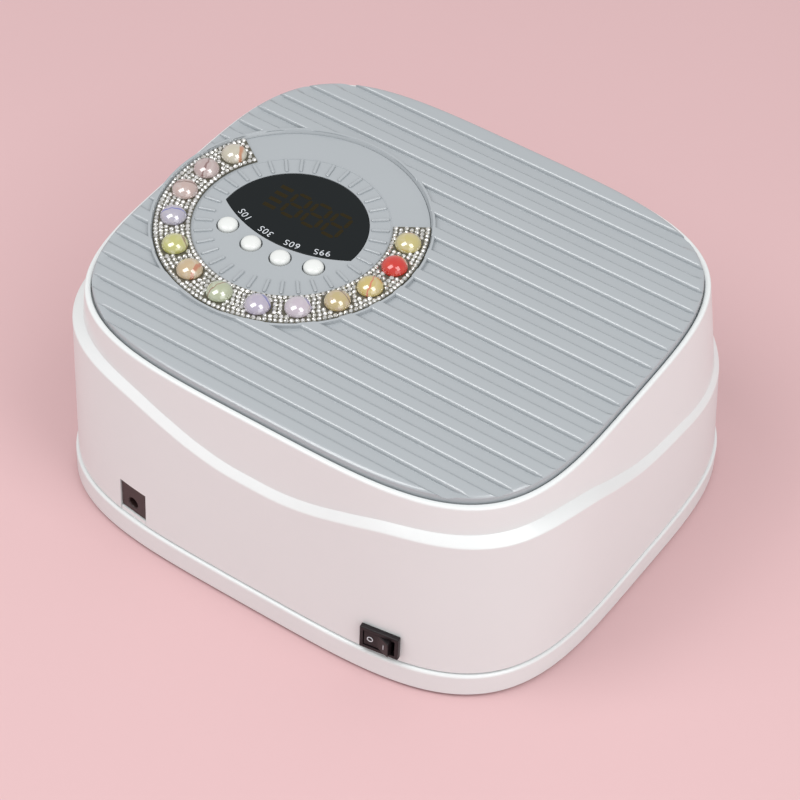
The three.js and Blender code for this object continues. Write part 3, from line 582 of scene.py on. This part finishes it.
def chamber_path(grow, foot, steps=14):
    """The chamber's section from one foot over the top to the other, drawn across X and up."""
    half, top, corner = CHAMBER_HALF + grow, CHAMBER_TOP + grow, CHAMBER_CORNER + grow
    right = arc((half - corner, top - corner), corner, 0, 90, steps)
    left = arc((corner - half, top - corner), corner, 90, 180, steps)
    return [(half, foot), *right, *left, (-half, foot)]


def run_along_y(section, front, rear):
    """A section of X and height run along Y; front and rear are functions of both."""
    rings = [[(x, front(x, z), z) for x, z in section], [(x, rear(x, z), z) for x, z in section]]
    return stack(rings)


def rear_station(x, turn):
    """A frame on the outer wall at the rear, its own Y pointing straight out."""
    y = wall_point(math.atan2(92.5, x), CASING_BOTTOM + 8, 1)[1]
    return Matrix.Translation((x, y, 0)) @ Matrix.Rotation(math.radians(turn), 4, "Z")


def switch_box(half, inner, outer, edge=0.0):
    """A box round the middle of the switch, from inner to outer along the way out."""
    low, high = (-half[0], inner, SWITCH_Z - half[1]), (half[0], outer, SWITCH_Z + half[1])
    return box(low, high, edge)


def make_casing():
    """The shell, drawn from under its rim down the inside, up the outside and over the rim."""
    edge, inner_edge = 0.4, 0.5
    crest = [shoulder_height(angle) for angle in ANGLES]
    step_foot = [height - SHOULDER_DROP for height in crest]
    rim_foot = [height - RIM_EDGE for _, _, height in rim_ring(0, 0)]
    wall_foot = [CASING_BOTTOM + edge] * OUTLINE_STEPS

    def wall_ring(lows, highs, share, out, inset=0.0):
        heights = [low + (high - low) * share for low, high in zip(lows, highs)]
        return [wall_point(a, height, out, inset) for a, height in zip(ANGLES, heights)]

    rings = [rim_ring(WALL + 0.2, DECK_BOTTOM)]
    rings.append(level_ring(LOWER_FOOT, WALL, CASING_BOTTOM))
    rings.append(level_ring(LOWER_FOOT, edge, CASING_BOTTOM))
    rings.append(level_ring(LOWER_FOOT, edge * 0.3, CASING_BOTTOM + edge * 0.3))
    rings.extend(wall_ring(wall_foot, step_foot, share, 1) for share in (0, 0.35, 0.7))
    rings.extend(wall_ring(crest, step_foot, drop, out) for drop, out in SHOULDER_PROFILE)
    rings.extend(wall_ring(crest, rim_foot, share, 0) for share in (0.33, 0.66))
    rings.extend(rim_ring(RIM_EDGE * inset, -RIM_EDGE * drop) for inset, drop in quarter_turn(5))
    for drop, inset in quarter_turn(4):
        rings.append(rim_ring(RIM_WIDTH - inner_edge * inset, -inner_edge * drop))
    rings.append(rim_ring(RIM_WIDTH, DECK_TOP))
    casing = new_object("casing_shell", stack(rings))

    doorway = run_along_y(chamber_path(0, 0), lambda x, z: -140, lambda x, z: -50)
    half, inside, outside, below = JACK_WIDTH / 2 + GAP, -8, 5, 5
    jack_cut = box((-half, inside, below), (half, outside, JACK_Z + JACK_HEIGHT / 2 + GAP))
    switch_cut = switch_box(SWITCH_CUT, inside, outside)
    jack_cut = moved(jack_cut, rear_station(JACK_X, JACK_TURN))
    switch_cut = moved(switch_cut, rear_station(SWITCH_X, SWITCH_TURN))
    carve(casing, doorway, jack_cut, switch_cut)
    settle(casing, WHITE, "lamp", "white_plastic", "casing")


# ---- Ribbed panel -----------------------------------------------------------------------


def panel_ring(inset, height, steps=200):
    """The outline of the ribbed panel at one height above the rim plane."""
    angles = [2 * math.pi * step / steps for step in range(steps)]
    return [(*outline_point(angle, UPPER_RIM, PANEL_INSET + inset), height) for angle in angles]


def groove_section(front, rear, floor):
    """A channel's section across its length, from its floor up the far side and back over the top."""
    over, low = PANEL_TOP + 1, min(NEAR_EDGE, PANEL_TOP - floor)
    section = [(front, floor)]
    for step in range(8):
        share = step / 7
        eased = share**2 * (3 - 2 * share)
        section.append((rear - FAR_FOOT + FAR_SLOPE * share, floor + (PANEL_TOP - floor) * eased))
    section += [(rear - FAR_FOOT + FAR_SLOPE, over), (front - NEAR_EDGE, over)]
    for drop, reach in quarter_turn(6):
        section.append((front - NEAR_EDGE * reach, PANEL_TOP - low * drop))
    return section


def groove_strips():
    """The channels that part the bars: round at the bars' rear edges, eased up at their front
    edges, and running out to nothing at the sides of the panel."""
    half_x = UPPER_RIM[0] - PANEL_INSET
    half_y = (UPPER_RIM[1] + UPPER_RIM[2]) / 2 - PANEL_INSET
    middle = (UPPER_RIM[1] - UPPER_RIM[2]) / 2
    strips = []
    for number in range(GROOVE_COUNT):
        front = GROOVE_FIRST + GROOVE_PITCH * number
        rear = front + GROOVE_WIDTH
        off_middle = abs(((front + rear) / 2 - middle) / half_y)
        reach = half_x * (1 - off_middle**OUTLINE_POWER) ** (1 / OUTLINE_POWER)
        rings = []
        for x, rise in (
            (-reach - PAST_PANEL, RUN_OUT_RISE), (-reach, RUN_OUT_RISE), (-reach + RUN_OUT, 0),
            (reach - RUN_OUT, 0), (reach, RUN_OUT_RISE), (reach + PAST_PANEL, RUN_OUT_RISE),
        ):
            rings.append([(x, y, z) for y, z in groove_section(front, rear, PANEL_FLOOR + rise)])
        strips.append(stack(rings))
    return strips


def make_panel():
    """The ribbed panel with its channels, its round well and the raised border round the well."""
    rings = [panel_ring(0, PANEL_BOTTOM)]
    for inset, drop in quarter_turn(8):
        rings.append(panel_ring(PANEL_ROLL * inset, PANEL_TOP - ROLL_DROP * drop))
    panel = new_object("ribbed_panel", moved(stack(rings), DECK))
    well = spun([(DIAL_RECESS + GAP, -6), (DIAL_RECESS + GAP, 6)], 144)
    carve(panel, *[moved(cutter, DECK) for cutter in groove_strips()])
    carve(panel, moved(moved(well, Matrix.Translation(DIAL)), DECK))

    top, foot, inner = PANEL_TOP + 0.02, 0.6, DIAL_RECESS - 0.25
    section = (
        (DIAL_BORDER, foot), (DIAL_BORDER, top - 0.4), (DIAL_BORDER - 0.12, top - 0.12),
        (DIAL_BORDER - 0.4, top), (DIAL_RECESS + 0.8, top), (DIAL_RECESS + 0.55, top - 0.08),
        (inner, DIAL_FLOOR + 0.04), (inner, foot),
    )
    add_solid(panel, "border", moved(hoop(section, (DIAL.x, DIAL.y), 144), DECK))
    settle(panel, GREY, "lamp", "grey_plastic", "top_panel")


# ---- Dial -------------------------------------------------------------------------------


def window_outline(inset, steps=64):
    """The eye shape of the display: a circle cut by an arc on its rear side."""
    radius, arc_radius = WINDOW_RADIUS - inset, WINDOW_ARC - inset
    tip_y = (arc_radius**2 - radius**2 - WINDOW_OFFSET**2) / (2 * WINDOW_OFFSET)
    tip_x = math.sqrt(radius**2 - tip_y**2)
    front = math.degrees(math.atan2(tip_y, tip_x))
    rear = math.degrees(math.atan2(tip_y + WINDOW_OFFSET, tip_x))
    lower = arc((0, 0), radius, 180 - front, 360 + front, steps)
    upper = arc((0, -WINDOW_OFFSET), arc_radius, rear, 180 - rear, steps // 2)
    return lower + upper[1:-1]


def button_place(index, radius, spacing):
    """A place on the arc of the buttons, and its turn in degrees from straight back."""
    turn = spacing * (index - (len(BUTTON_NAMES) - 1) / 2)
    angle = math.radians(90 + turn)
    return Vector((radius * math.cos(angle), radius * math.sin(angle) - WINDOW_OFFSET, 0)), turn


ON_DIAL = DECK @ Matrix.Translation(DIAL)
SIGN_TOP = DIAL_FLOOR + 0.07


def make_dial():
    """The disc with its openings, ticks and inner lip, and the window pane."""
    edge = 0.1
    profile = [(DIAL_RADIUS, -0.6), (DIAL_RADIUS, DIAL_FLOOR - edge), (DIAL_RADIUS - edge, DIAL_FLOOR)]
    disc = new_object("dial_face", moved(spun(profile, 160), ON_DIAL))
    holes = [prism(window_outline(-0.2), -5, 5)]
    for index in range(len(BUTTON_NAMES)):
        place, _ = button_place(index, BUTTON_ARC, BUTTON_SPACING)
        holes.append(moved(spun([(BUTTON_HOLE, -5), (BUTTON_HOLE, 5)]), Matrix.Translation(place)))
    for hole in holes:
        carve(disc, moved(hole, ON_DIAL))
    round_edges(disc, 0.15, 2)

    near, far, side = TICK_INNER + TICK_CORNER, TICK_OUTER - TICK_CORNER, 0.02
    core = [(near, -side), (far, -side), (far, side), (near, side)]
    low, high = DIAL_FLOOR - 0.3, DIAL_FLOOR + TICK_HEIGHT
    ticks = []
    for index in range(TICK_COUNT):
        tick = rounded_slab(core, TICK_CORNER, low, high, TICK_EDGE, steps=4)
        turn = Matrix.Rotation(2 * math.pi * index / TICK_COUNT, 4, "Z")
        ticks.append(moved(tick, ON_DIAL @ turn))
    lip_outer, lip_inner, low, side = LIP_RADIUS + LIP_HALF, LIP_RADIUS - LIP_HALF, -0.2, 0.1
    section = [(lip_outer, low), (lip_outer, side), (LIP_RADIUS, 0.16), (lip_inner, side), (lip_inner, low)]
    section = [(radius, DIAL_FLOOR + height) for radius, height in section]
    ticks.append(moved(hoop(section, (0, 0), 120), ON_DIAL))
    add_solid(disc, "ticks", together(ticks))
    settle(disc, GREY, "lamp", "grey_plastic", "dial_disc")

    top, edge = DIAL_FLOOR + 0.05, 0.25
    rings = [[(x, y, 0.2) for x, y in window_outline(0)]]
    for inset, drop in quarter_turn(3):
        rings.append([(x, y, top - edge * drop) for x, y in window_outline(edge * inset)])
    window = new_object("window_pane", moved(stack(rings), ON_DIAL))
    settle(window, SMOKED, "lamp", "smoked_window", "display_window")


def text_mesh(words):
    """Flat lettering as a mesh, centred on its own origin."""
    text = bpy.data.curves.new("label", "FONT")
    text.body = words
    text.size = LABEL_SIZE * MM
    text.offset = -LABEL_LINE * MM
    text.extrude = LABEL_LINE * MM
    text.space_character = 1.12
    text.align_x, text.align_y = "CENTER", "CENTER"
    text.resolution_u = 6
    drawn = bpy.data.objects.new("label_curve", text)
    bpy.context.scene.collection.objects.link(drawn)
    bpy.context.view_layer.update()
    depsgraph = bpy.context.evaluated_depsgraph_get()
    mesh = bpy.data.meshes.new_from_object(drawn.evaluated_get(depsgraph))
    bpy.data.objects.remove(drawn)
    return mesh


def make_labels():
    """The seconds beside each button."""
    for index, seconds in enumerate(BUTTON_NAMES):
        place, turn = button_place(index, LABEL_ARC, LABEL_SPACING)
        mesh = text_mesh(seconds.upper())
        spot = ON_DIAL @ Matrix.Translation(place + Vector((0, 0, SIGN_TOP)))
        spot.translation = spot.translation * MM
        mesh.transform(spot @ Matrix.Rotation(math.radians(turn), 4, "Z"))
        label = bpy.data.objects.new("label_" + seconds, mesh)
        bpy.context.scene.collection.objects.link(label)
        settle(label, INK, "lamp", "button_white")


def digit_bar(x, y, length, upright):
    """One bar of a digit, pointed at both ends, as an outline round its middle."""
    half, side = length / 2, DIGIT_STROKE / 2
    points = [(-half, 0), (-half + side, -side), (half - side, -side), (half, 0),
              (half - side, side), (-half + side, side)]
    if upright:
        points = [(-py, px) for px, py in points]
    return [(x + px, y + py) for px, py in points]


def make_digits():
    """The unlit digits behind the window, and the column of bars beside them."""
    outlines = []
    for x in DIGIT_PLACES:
        for level in (-1, 0, 1):
            outlines.append(digit_bar(x, DIGIT_Y + level * DIGIT_HALF_Y, DIGIT_BAR, False))
        for side in (-1, 1):
            for level in (-0.5, 0.5):
                spot = x + side * DIGIT_HALF_X, DIGIT_Y + level * DIGIT_HALF_Y
                outlines.append(digit_bar(*spot, DIGIT_UPRIGHT, True))
    for level in range(LEVEL_COUNT):
        y = DIGIT_Y - DIGIT_HALF_Y + 0.4 + level * LEVEL_PITCH
        low, high = y - LEVEL_HALF, y + LEVEL_HALF
        outlines.append([(LEVEL_LEFT, low), (LEVEL_RIGHT, low), (LEVEL_RIGHT, high), (LEVEL_LEFT, high)])
    bars = [prism(outline, SIGN_TOP - 0.1, SIGN_TOP - 0.01) for outline in outlines]
    digits = new_object("display_digits", moved(together(bars), ON_DIAL))
    settle(digits, SEGMENT, "lamp", "smoked_window", "display_module")


def make_gems():
    """The dark sector with its rows of faceted stones, left free under the pearls."""
    low = DIAL_FLOOR + 0.05
    outer = arc((0, 0), BAND_OUTER, 90 - BAND_HALF_SPAN, 90 + BAND_HALF_SPAN, 120)
    inner = arc((0, 0), BAND_INNER, 90 + BAND_HALF_SPAN, 90 - BAND_HALF_SPAN, 120)
    sector = new_object("gem_sector", moved(prism(outer + inner, low, low + 0.6), ON_DIAL))
    settle(sector, SETTING, "lamp", "gem_setting", "gem_band")

    angles = [math.radians(90 + turn) for turn in PEARL_TURNS]
    pearl_spots = [(PEARL_RING * math.cos(angle), PEARL_RING * math.sin(angle)) for angle in angles]
    stones = []
    for row in range(GEM_ROWS):
        radius = BAND_INNER + 1.0 + row * (BAND_OUTER - BAND_INNER - 2.0) / (GEM_ROWS - 1)
        span = math.radians(BAND_HALF_SPAN * 2) - 2 * GEM_RADIUS / radius
        count = round(span * radius / GEM_PITCH)
        for index in range(count + 1):
            shift = 0.5 if row % 2 and 0 < row < GEM_ROWS - 1 else 0.0
            if index + shift > count:
                continue
            angle = math.radians(90) - span / 2 + span * (index + shift) / count
            x, y = radius * math.cos(angle), radius * math.sin(angle)
            if min(math.hypot(x - px, y - py) for px, py in pearl_spots) < PEARL_RADIUS + 0.3:
                continue
            size = GEM_RADIUS * (1 + 0.05 * math.sin(7.1 * index + 3.3 * row))
            solid = spun([(size, 0.0), (size, 0.25), (size * 0.62, 0.78), (size * 0.3, 0.92)], 8)
            lean = Matrix.Rotation(0.16 * math.sin(5.3 * index + row), 4, "X")
            lean = lean @ Matrix.Rotation(0.16 * math.cos(4.1 * index + 2.0 * row), 4, "Y")
            spot = Matrix.Translation((x, y, low + 0.5)) @ Matrix.Rotation(2.4 * index + row, 4, "Z")
            stones.append(moved(solid, ON_DIAL @ spot @ lean))
    made = new_object("gem_stones", together(stones))
    settle(made, STONE, "lamp", "gem_setting")
    made.data.polygons.foreach_set("use_smooth", [False] * len(made.data.polygons))

    for number, (x, y) in enumerate(pearl_spots, 1):
        profile = [(PEARL_RADIUS * 0.96, 0.0), (PEARL_RADIUS, 0.3)]
        for turn in range(4, 90, 5):
            t = math.radians(turn)
            profile.append((PEARL_RADIUS * math.cos(t), 0.5 + (PEARL_HEIGHT - 0.5) * math.sin(t)))
        name = f"pearl_{number:02d}"
        spot = Matrix.Translation((x, y, PEARL_BASE))
        made = new_object("cabochon_" + name[-2:], moved(spun(profile), ON_DIAL @ spot))
        settle(made, pearl_surface(name, *PEARLS[number - 1]), "lamp", name, name)


def make_buttons():
    """Domed caps, each with a flange and a stem under the dial."""
    radius, flange, shoulder = BUTTON_RADIUS, BUTTON_RADIUS + BUTTON_FLANGE, BUTTON_TOP - BUTTON_DOME
    profile = [(BUTTON_STEM, -4.4), (BUTTON_STEM, -3.3), (flange, -3.2), (flange, -2.1), (radius, -2.0)]
    profile.append((radius, shoulder))
    for turn in range(10, 90, 8):
        t = math.radians(turn)
        profile.append((radius * math.cos(t) ** 0.8, shoulder + BUTTON_DOME * math.sin(t)))
    for index, seconds in enumerate(BUTTON_NAMES):
        place, _ = button_place(index, BUTTON_ARC, BUTTON_SPACING)
        cap = new_object("cap_" + seconds, moved(spun(profile), ON_DIAL @ Matrix.Translation(place)))
        settle(cap, BUTTON, "button_" + seconds, "button_white", "button_" + seconds)


# ---- Rear fittings ----------------------------------------------------------------------


OUTWARDS = Matrix.Rotation(-math.pi / 2, 4, "X")


def make_jack():
    """The power inlet: a plastic body with a flared bore, and the pin inside it."""
    at_jack = rear_station(JACK_X, JACK_TURN)
    half, half_height = JACK_WIDTH / 2, JACK_HEIGHT / 2
    low, high = (-half, -JACK_DEPTH, JACK_Z - half_height), (half, JACK_FACE, JACK_Z + half_height)
    socket = new_object("socket_body", moved(box(low, high, 0.35), at_jack))
    hole = Matrix.Translation((JACK_HOLE_X, JACK_FACE, JACK_HOLE_Z)) @ OUTWARDS
    flare = JACK_HOLE + 0.3
    bore = spun([(JACK_HOLE, -9), (JACK_HOLE, -0.4), (flare, 0.0), (flare, 1.0)])
    carve(socket, moved(bore, at_jack @ hole))
    settle(socket, SOCKET, "lamp", "black_plastic", "dc_jack")
    pin = spun([(0.8, -9.2), (0.8, -2.5), (0.55, -2.0), (0.2, -1.9)], 24)
    settle(new_object("socket_pin", moved(pin, at_jack @ hole)), BRASS, "lamp", "steel")


def make_switch():
    """The switch body with its bezel, and the rocker in its well with the marks O and I."""
    at_switch = rear_station(SWITCH_X, SWITCH_TURN)
    solids = [switch_box(BEZEL, -0.2, 1.9, 0.4), switch_box(SWITCH_BODY, -9, 1.0)]
    body = new_object("switch_body", moved(together(solids), at_switch))
    carve(body, moved(switch_box(SWITCH_WELL, -6.5, 3), at_switch))
    settle(body, BLACK, "lamp", "black_plastic", "switch_housing")

    steps, top = 12, []
    for step in range(steps + 1):
        x = ROCKER_HALF * (1 - 2 * step / steps)
        share = abs(x) / ROCKER_HALF
        top.append((x, ROCKER_CENTRE + (ROCKER_RISE - ROCKER_CENTRE) * share**1.25))
    side = [(-4.6, -1.0), (-3.0, -3.4), (3.0, -3.4), (4.6, -1.0), *top]
    paddle = prism(side, -ROCKER_HEIGHT / 2, ROCKER_HEIGHT / 2)
    at_rocker = at_switch @ Matrix.Translation((0, ROCKER_PIVOT, SWITCH_Z))
    at_rocker = at_rocker @ Matrix.Rotation(math.radians(ROCKER_REST), 4, "Z")
    rocker = new_object("rocker_paddle", moved(paddle, at_rocker))
    round_edges(rocker, 0.35)
    settle(rocker, BLACK, "rocker", "black_plastic", "rocker")

    lean = math.atan2(ROCKER_RISE - ROCKER_CENTRE, ROCKER_HALF)
    section = (
        (MARK_OUTER, MARK_LOW), (MARK_OUTER, MARK_TOP), (MARK_INNER, MARK_TOP), (MARK_INNER, MARK_LOW),
    )
    circle = hoop(section, (0, 0), 40)
    stroke = box((-MARK_LINE, -MARK_HALF, MARK_LOW), (MARK_LINE, MARK_HALF, MARK_TOP))
    marks = []
    for sign, shape in ((1, circle), (-1, stroke)):
        height = ROCKER_CENTRE + MARK_X * math.tan(lean) - 0.02
        out = Matrix.Translation((MARK_X * sign, height, 0))
        out = out @ Matrix.Rotation(lean * sign, 4, "Z") @ OUTWARDS
        marks.append(moved(shape, at_rocker @ out))
    settle(new_object("rocker_marks", together(marks)), INK, "rocker", "black_plastic")


# ---- Hand chamber -----------------------------------------------------------------------


def lamp_rows():
    """Each row of lamps: node, board corners, lamp places and the way they shine."""
    above = CHAMBER_TOP + BOARD_AWAY
    beside = CHAMBER_HALF + BOARD_AWAY
    behind = CHAMBER_REAR + BOARD_AWAY
    thick = BOARD_THICKNESS
    ceiling = [(x, y, above) for x in CEILING_LAMPS[0] for y in CEILING_LAMPS[1]]
    rows = [("led_board_ceiling", (-56, -72, above), (56, 62, above + thick), ceiling, (0, 0, -1))]
    for name, sign in (("led_board_right", 1), ("led_board_left", -1)):
        inner, outer = sign * beside, sign * (beside + thick)
        lamps = [(inner, y, z) for y in SIDE_LAMPS[0] for z in SIDE_LAMPS[1]]
        low, high = (min(inner, outer), -56, 19), (max(inner, outer), 56, 45)
        rows.append((name, low, high, lamps, (-sign, 0, 0)))
    rear = [(x, behind, z) for x in REAR_LAMPS[0] for z in REAR_LAMPS[1]]
    rows.append(("led_board_rear", (-56, behind, 33), (56, behind + thick, 49), rear, (0, -1, 0)))
    return rows


def facing(place, towards):
    """A frame at a place, its own Z pointing the given way."""
    turn = Vector((0, 0, 1)).rotation_difference(Vector(towards)).to_matrix().to_4x4()
    return Matrix.Translation(place) @ turn


def make_chamber():
    """The liner, cut off along the front wall, its rear wall, and the boards with their lamps."""
    foot = TRAY_TOP + GAP + 0.1

    def front(x, z):
        share = (z - CASING_BOTTOM) / (RIM_HEIGHT + DECK_BOTTOM - CASING_BOTTOM)
        reach = [a - WALL + (b - a) * share for a, b in zip(LOWER_FOOT, UPPER_RIM)]
        shrink = max(0.0, 1 - abs(x / reach[0]) ** OUTLINE_POWER) ** (1 / OUTLINE_POWER)
        return (reach[1] - reach[2]) / 2 - (reach[1] + reach[2]) / 2 * shrink + 0.6

    inner, outer = chamber_path(0, foot), chamber_path(CHAMBER_SKIN, foot)
    tunnel = run_along_y(outer + inner[::-1], front, lambda x, z: CHAMBER_REAR + 0.5)
    back = run_along_y(outer, lambda x, z: CHAMBER_REAR, lambda x, z: CHAMBER_REAR + CHAMBER_SKIN)
    liner = new_object("chamber_liner", tunnel)
    hole = spun([(LED_HOLE, -1.0), (LED_HOLE, 8.0)], 24)
    rows = lamp_rows()
    cuts = [[moved(hole, facing(place, way)) for place in lamps] for *_, lamps, way in rows]
    sensor = spun([(SENSOR_RADIUS, 60), (SENSOR_RADIUS, 80)], 24)
    sensor = moved(sensor, Matrix.Translation((0, SENSOR_Y, 0)))
    *around, behind = cuts
    carve(liner, *[cut for row in around for cut in row], sensor)
    settle(liner, MIRROR, "lamp", "reflector", "reflector_liner")
    rear_wall = new_object("chamber_back", back)
    carve(rear_wall, *behind)
    settle(rear_wall, MIRROR, "lamp", "reflector")

    dome = 1.6
    bead = [(LED_RADIUS, -0.5), (LED_RADIUS, LED_REACH - dome)]
    for turn in range(15, 90, 12):
        t = math.radians(turn)
        bead.append((LED_RADIUS * math.cos(t), LED_REACH - dome + dome * math.sin(t)))
    for name, low, high, lamps, way in rows:
        place_name = name.removeprefix("led_board_")
        board = new_object("board_" + place_name, box(low, high, 0.2))
        settle(board, CIRCUIT, "lamp", "circuit_board", name)
        domes = together([moved(spun(bead, 24), facing(place, way)) for place in lamps])
        settle(new_object("lamps_" + place_name, domes), LENS, "lamp", "circuit_board")


# ---- Carried-over nodes, stage and camera -----------------------------------------------


def dress_nodes():
    """Materials for the CAD nodes that stay, with softened edges."""
    finishes = {
        "white_plastic": WHITE, "grey_plastic": GREY, "reflector": MIRROR, "foot_rubber": RUBBER,
        "steel": STEEL, "circuit_board": CIRCUIT, "black_plastic": BLACK, "lead_sleeve": LEAD,
    }
    slots = {part["node"]: part["material_slot"] for part in frame["record"]["subparts"]}
    for name, node in frame["nodes"].items():
        if node.hide_render or slots[name] not in finishes:
            continue
        node.data.materials.clear()
        node.data.materials.append(finishes[slots[name]])
        soft = node.modifiers.new("soft_edges", "BEVEL")
        soft.width = 0.2 * MM
        soft.segments = 2
        soft.limit_method = "ANGLE"
        soft.angle_limit = math.radians(50)


def make_floor():
    shape = bmesh.new()
    bmesh.ops.create_grid(shape, x_segments=40, y_segments=40, size=4.0)
    mesh = bpy.data.meshes.new("floor")
    shape.to_mesh(mesh)
    shape.free()
    floor = bpy.data.objects.new("floor", mesh)
    bpy.context.scene.collection.objects.link(floor)
    paper = surface("floor_paper", linear(214, 179, 181), 0.8, tint=0.01, cloud=3.0, bump=0.02,
                    specular=0.2)
    mesh.materials.append(paper)


def make_lights():
    """An even sky and soft boxes, each facing the middle of the stage."""
    world = bpy.data.worlds.new("studio")
    world.use_nodes = True
    sky = world.node_tree.nodes["Background"]
    sky.inputs["Color"].default_value = SKY_COLOUR
    sky.inputs["Strength"].default_value = SKY_STRENGTH
    bpy.context.scene.world = world

    for name, place, width, power in LIGHTS:
        lamp = bpy.data.lights.new(name, "AREA")
        lamp.shape = "RECTANGLE"
        lamp.size, lamp.size_y = width, width * LIGHT_LENGTH
        lamp.energy = power
        soft_box = bpy.data.objects.new(name, lamp)
        soft_box.location = place
        soft_box.rotation_mode = "QUATERNION"
        soft_box.rotation_quaternion = (-Vector(place)).to_track_quat("-Z", "Y")
        bpy.context.scene.collection.objects.link(soft_box)


def make_camera():
    azimuth, elevation = math.radians(CAMERA_AZIMUTH), math.radians(CAMERA_ELEVATION)
    roll = math.radians(CAMERA_ROLL)
    level = math.cos(elevation)
    right = Vector((math.cos(azimuth), math.sin(azimuth), 0))
    back = Vector((math.sin(azimuth) * level, -math.cos(azimuth) * level, math.sin(elevation)))
    up = back.cross(right)
    rolled_right = right * math.cos(roll) + up * math.sin(roll)
    rolled_up = up * math.cos(roll) - right * math.sin(roll)
    place = back * CAMERA_DISTANCE + rolled_right * CAMERA_RIGHT + rolled_up * CAMERA_UP
    camera = bpy.data.objects.new("camera", bpy.data.cameras.new("camera"))
    camera.data.lens = CAMERA_LENS
    camera.data.sensor_width = 36.0
    camera.data.clip_start, camera.data.clip_end = 0.05, 50.0
    turn = Matrix((rolled_right, rolled_up, back)).transposed()
    camera.matrix_world = Matrix.Translation(place * MM) @ turn.to_4x4()
    bpy.context.scene.collection.objects.link(camera)
    bpy.context.scene.camera = camera


make_tray()
make_casing()
make_panel()
make_dial()
make_labels()
make_digits()
make_gems()
make_buttons()
make_jack()
make_switch()
make_chamber()
dress_nodes()
make_floor()
make_lights()
make_camera()
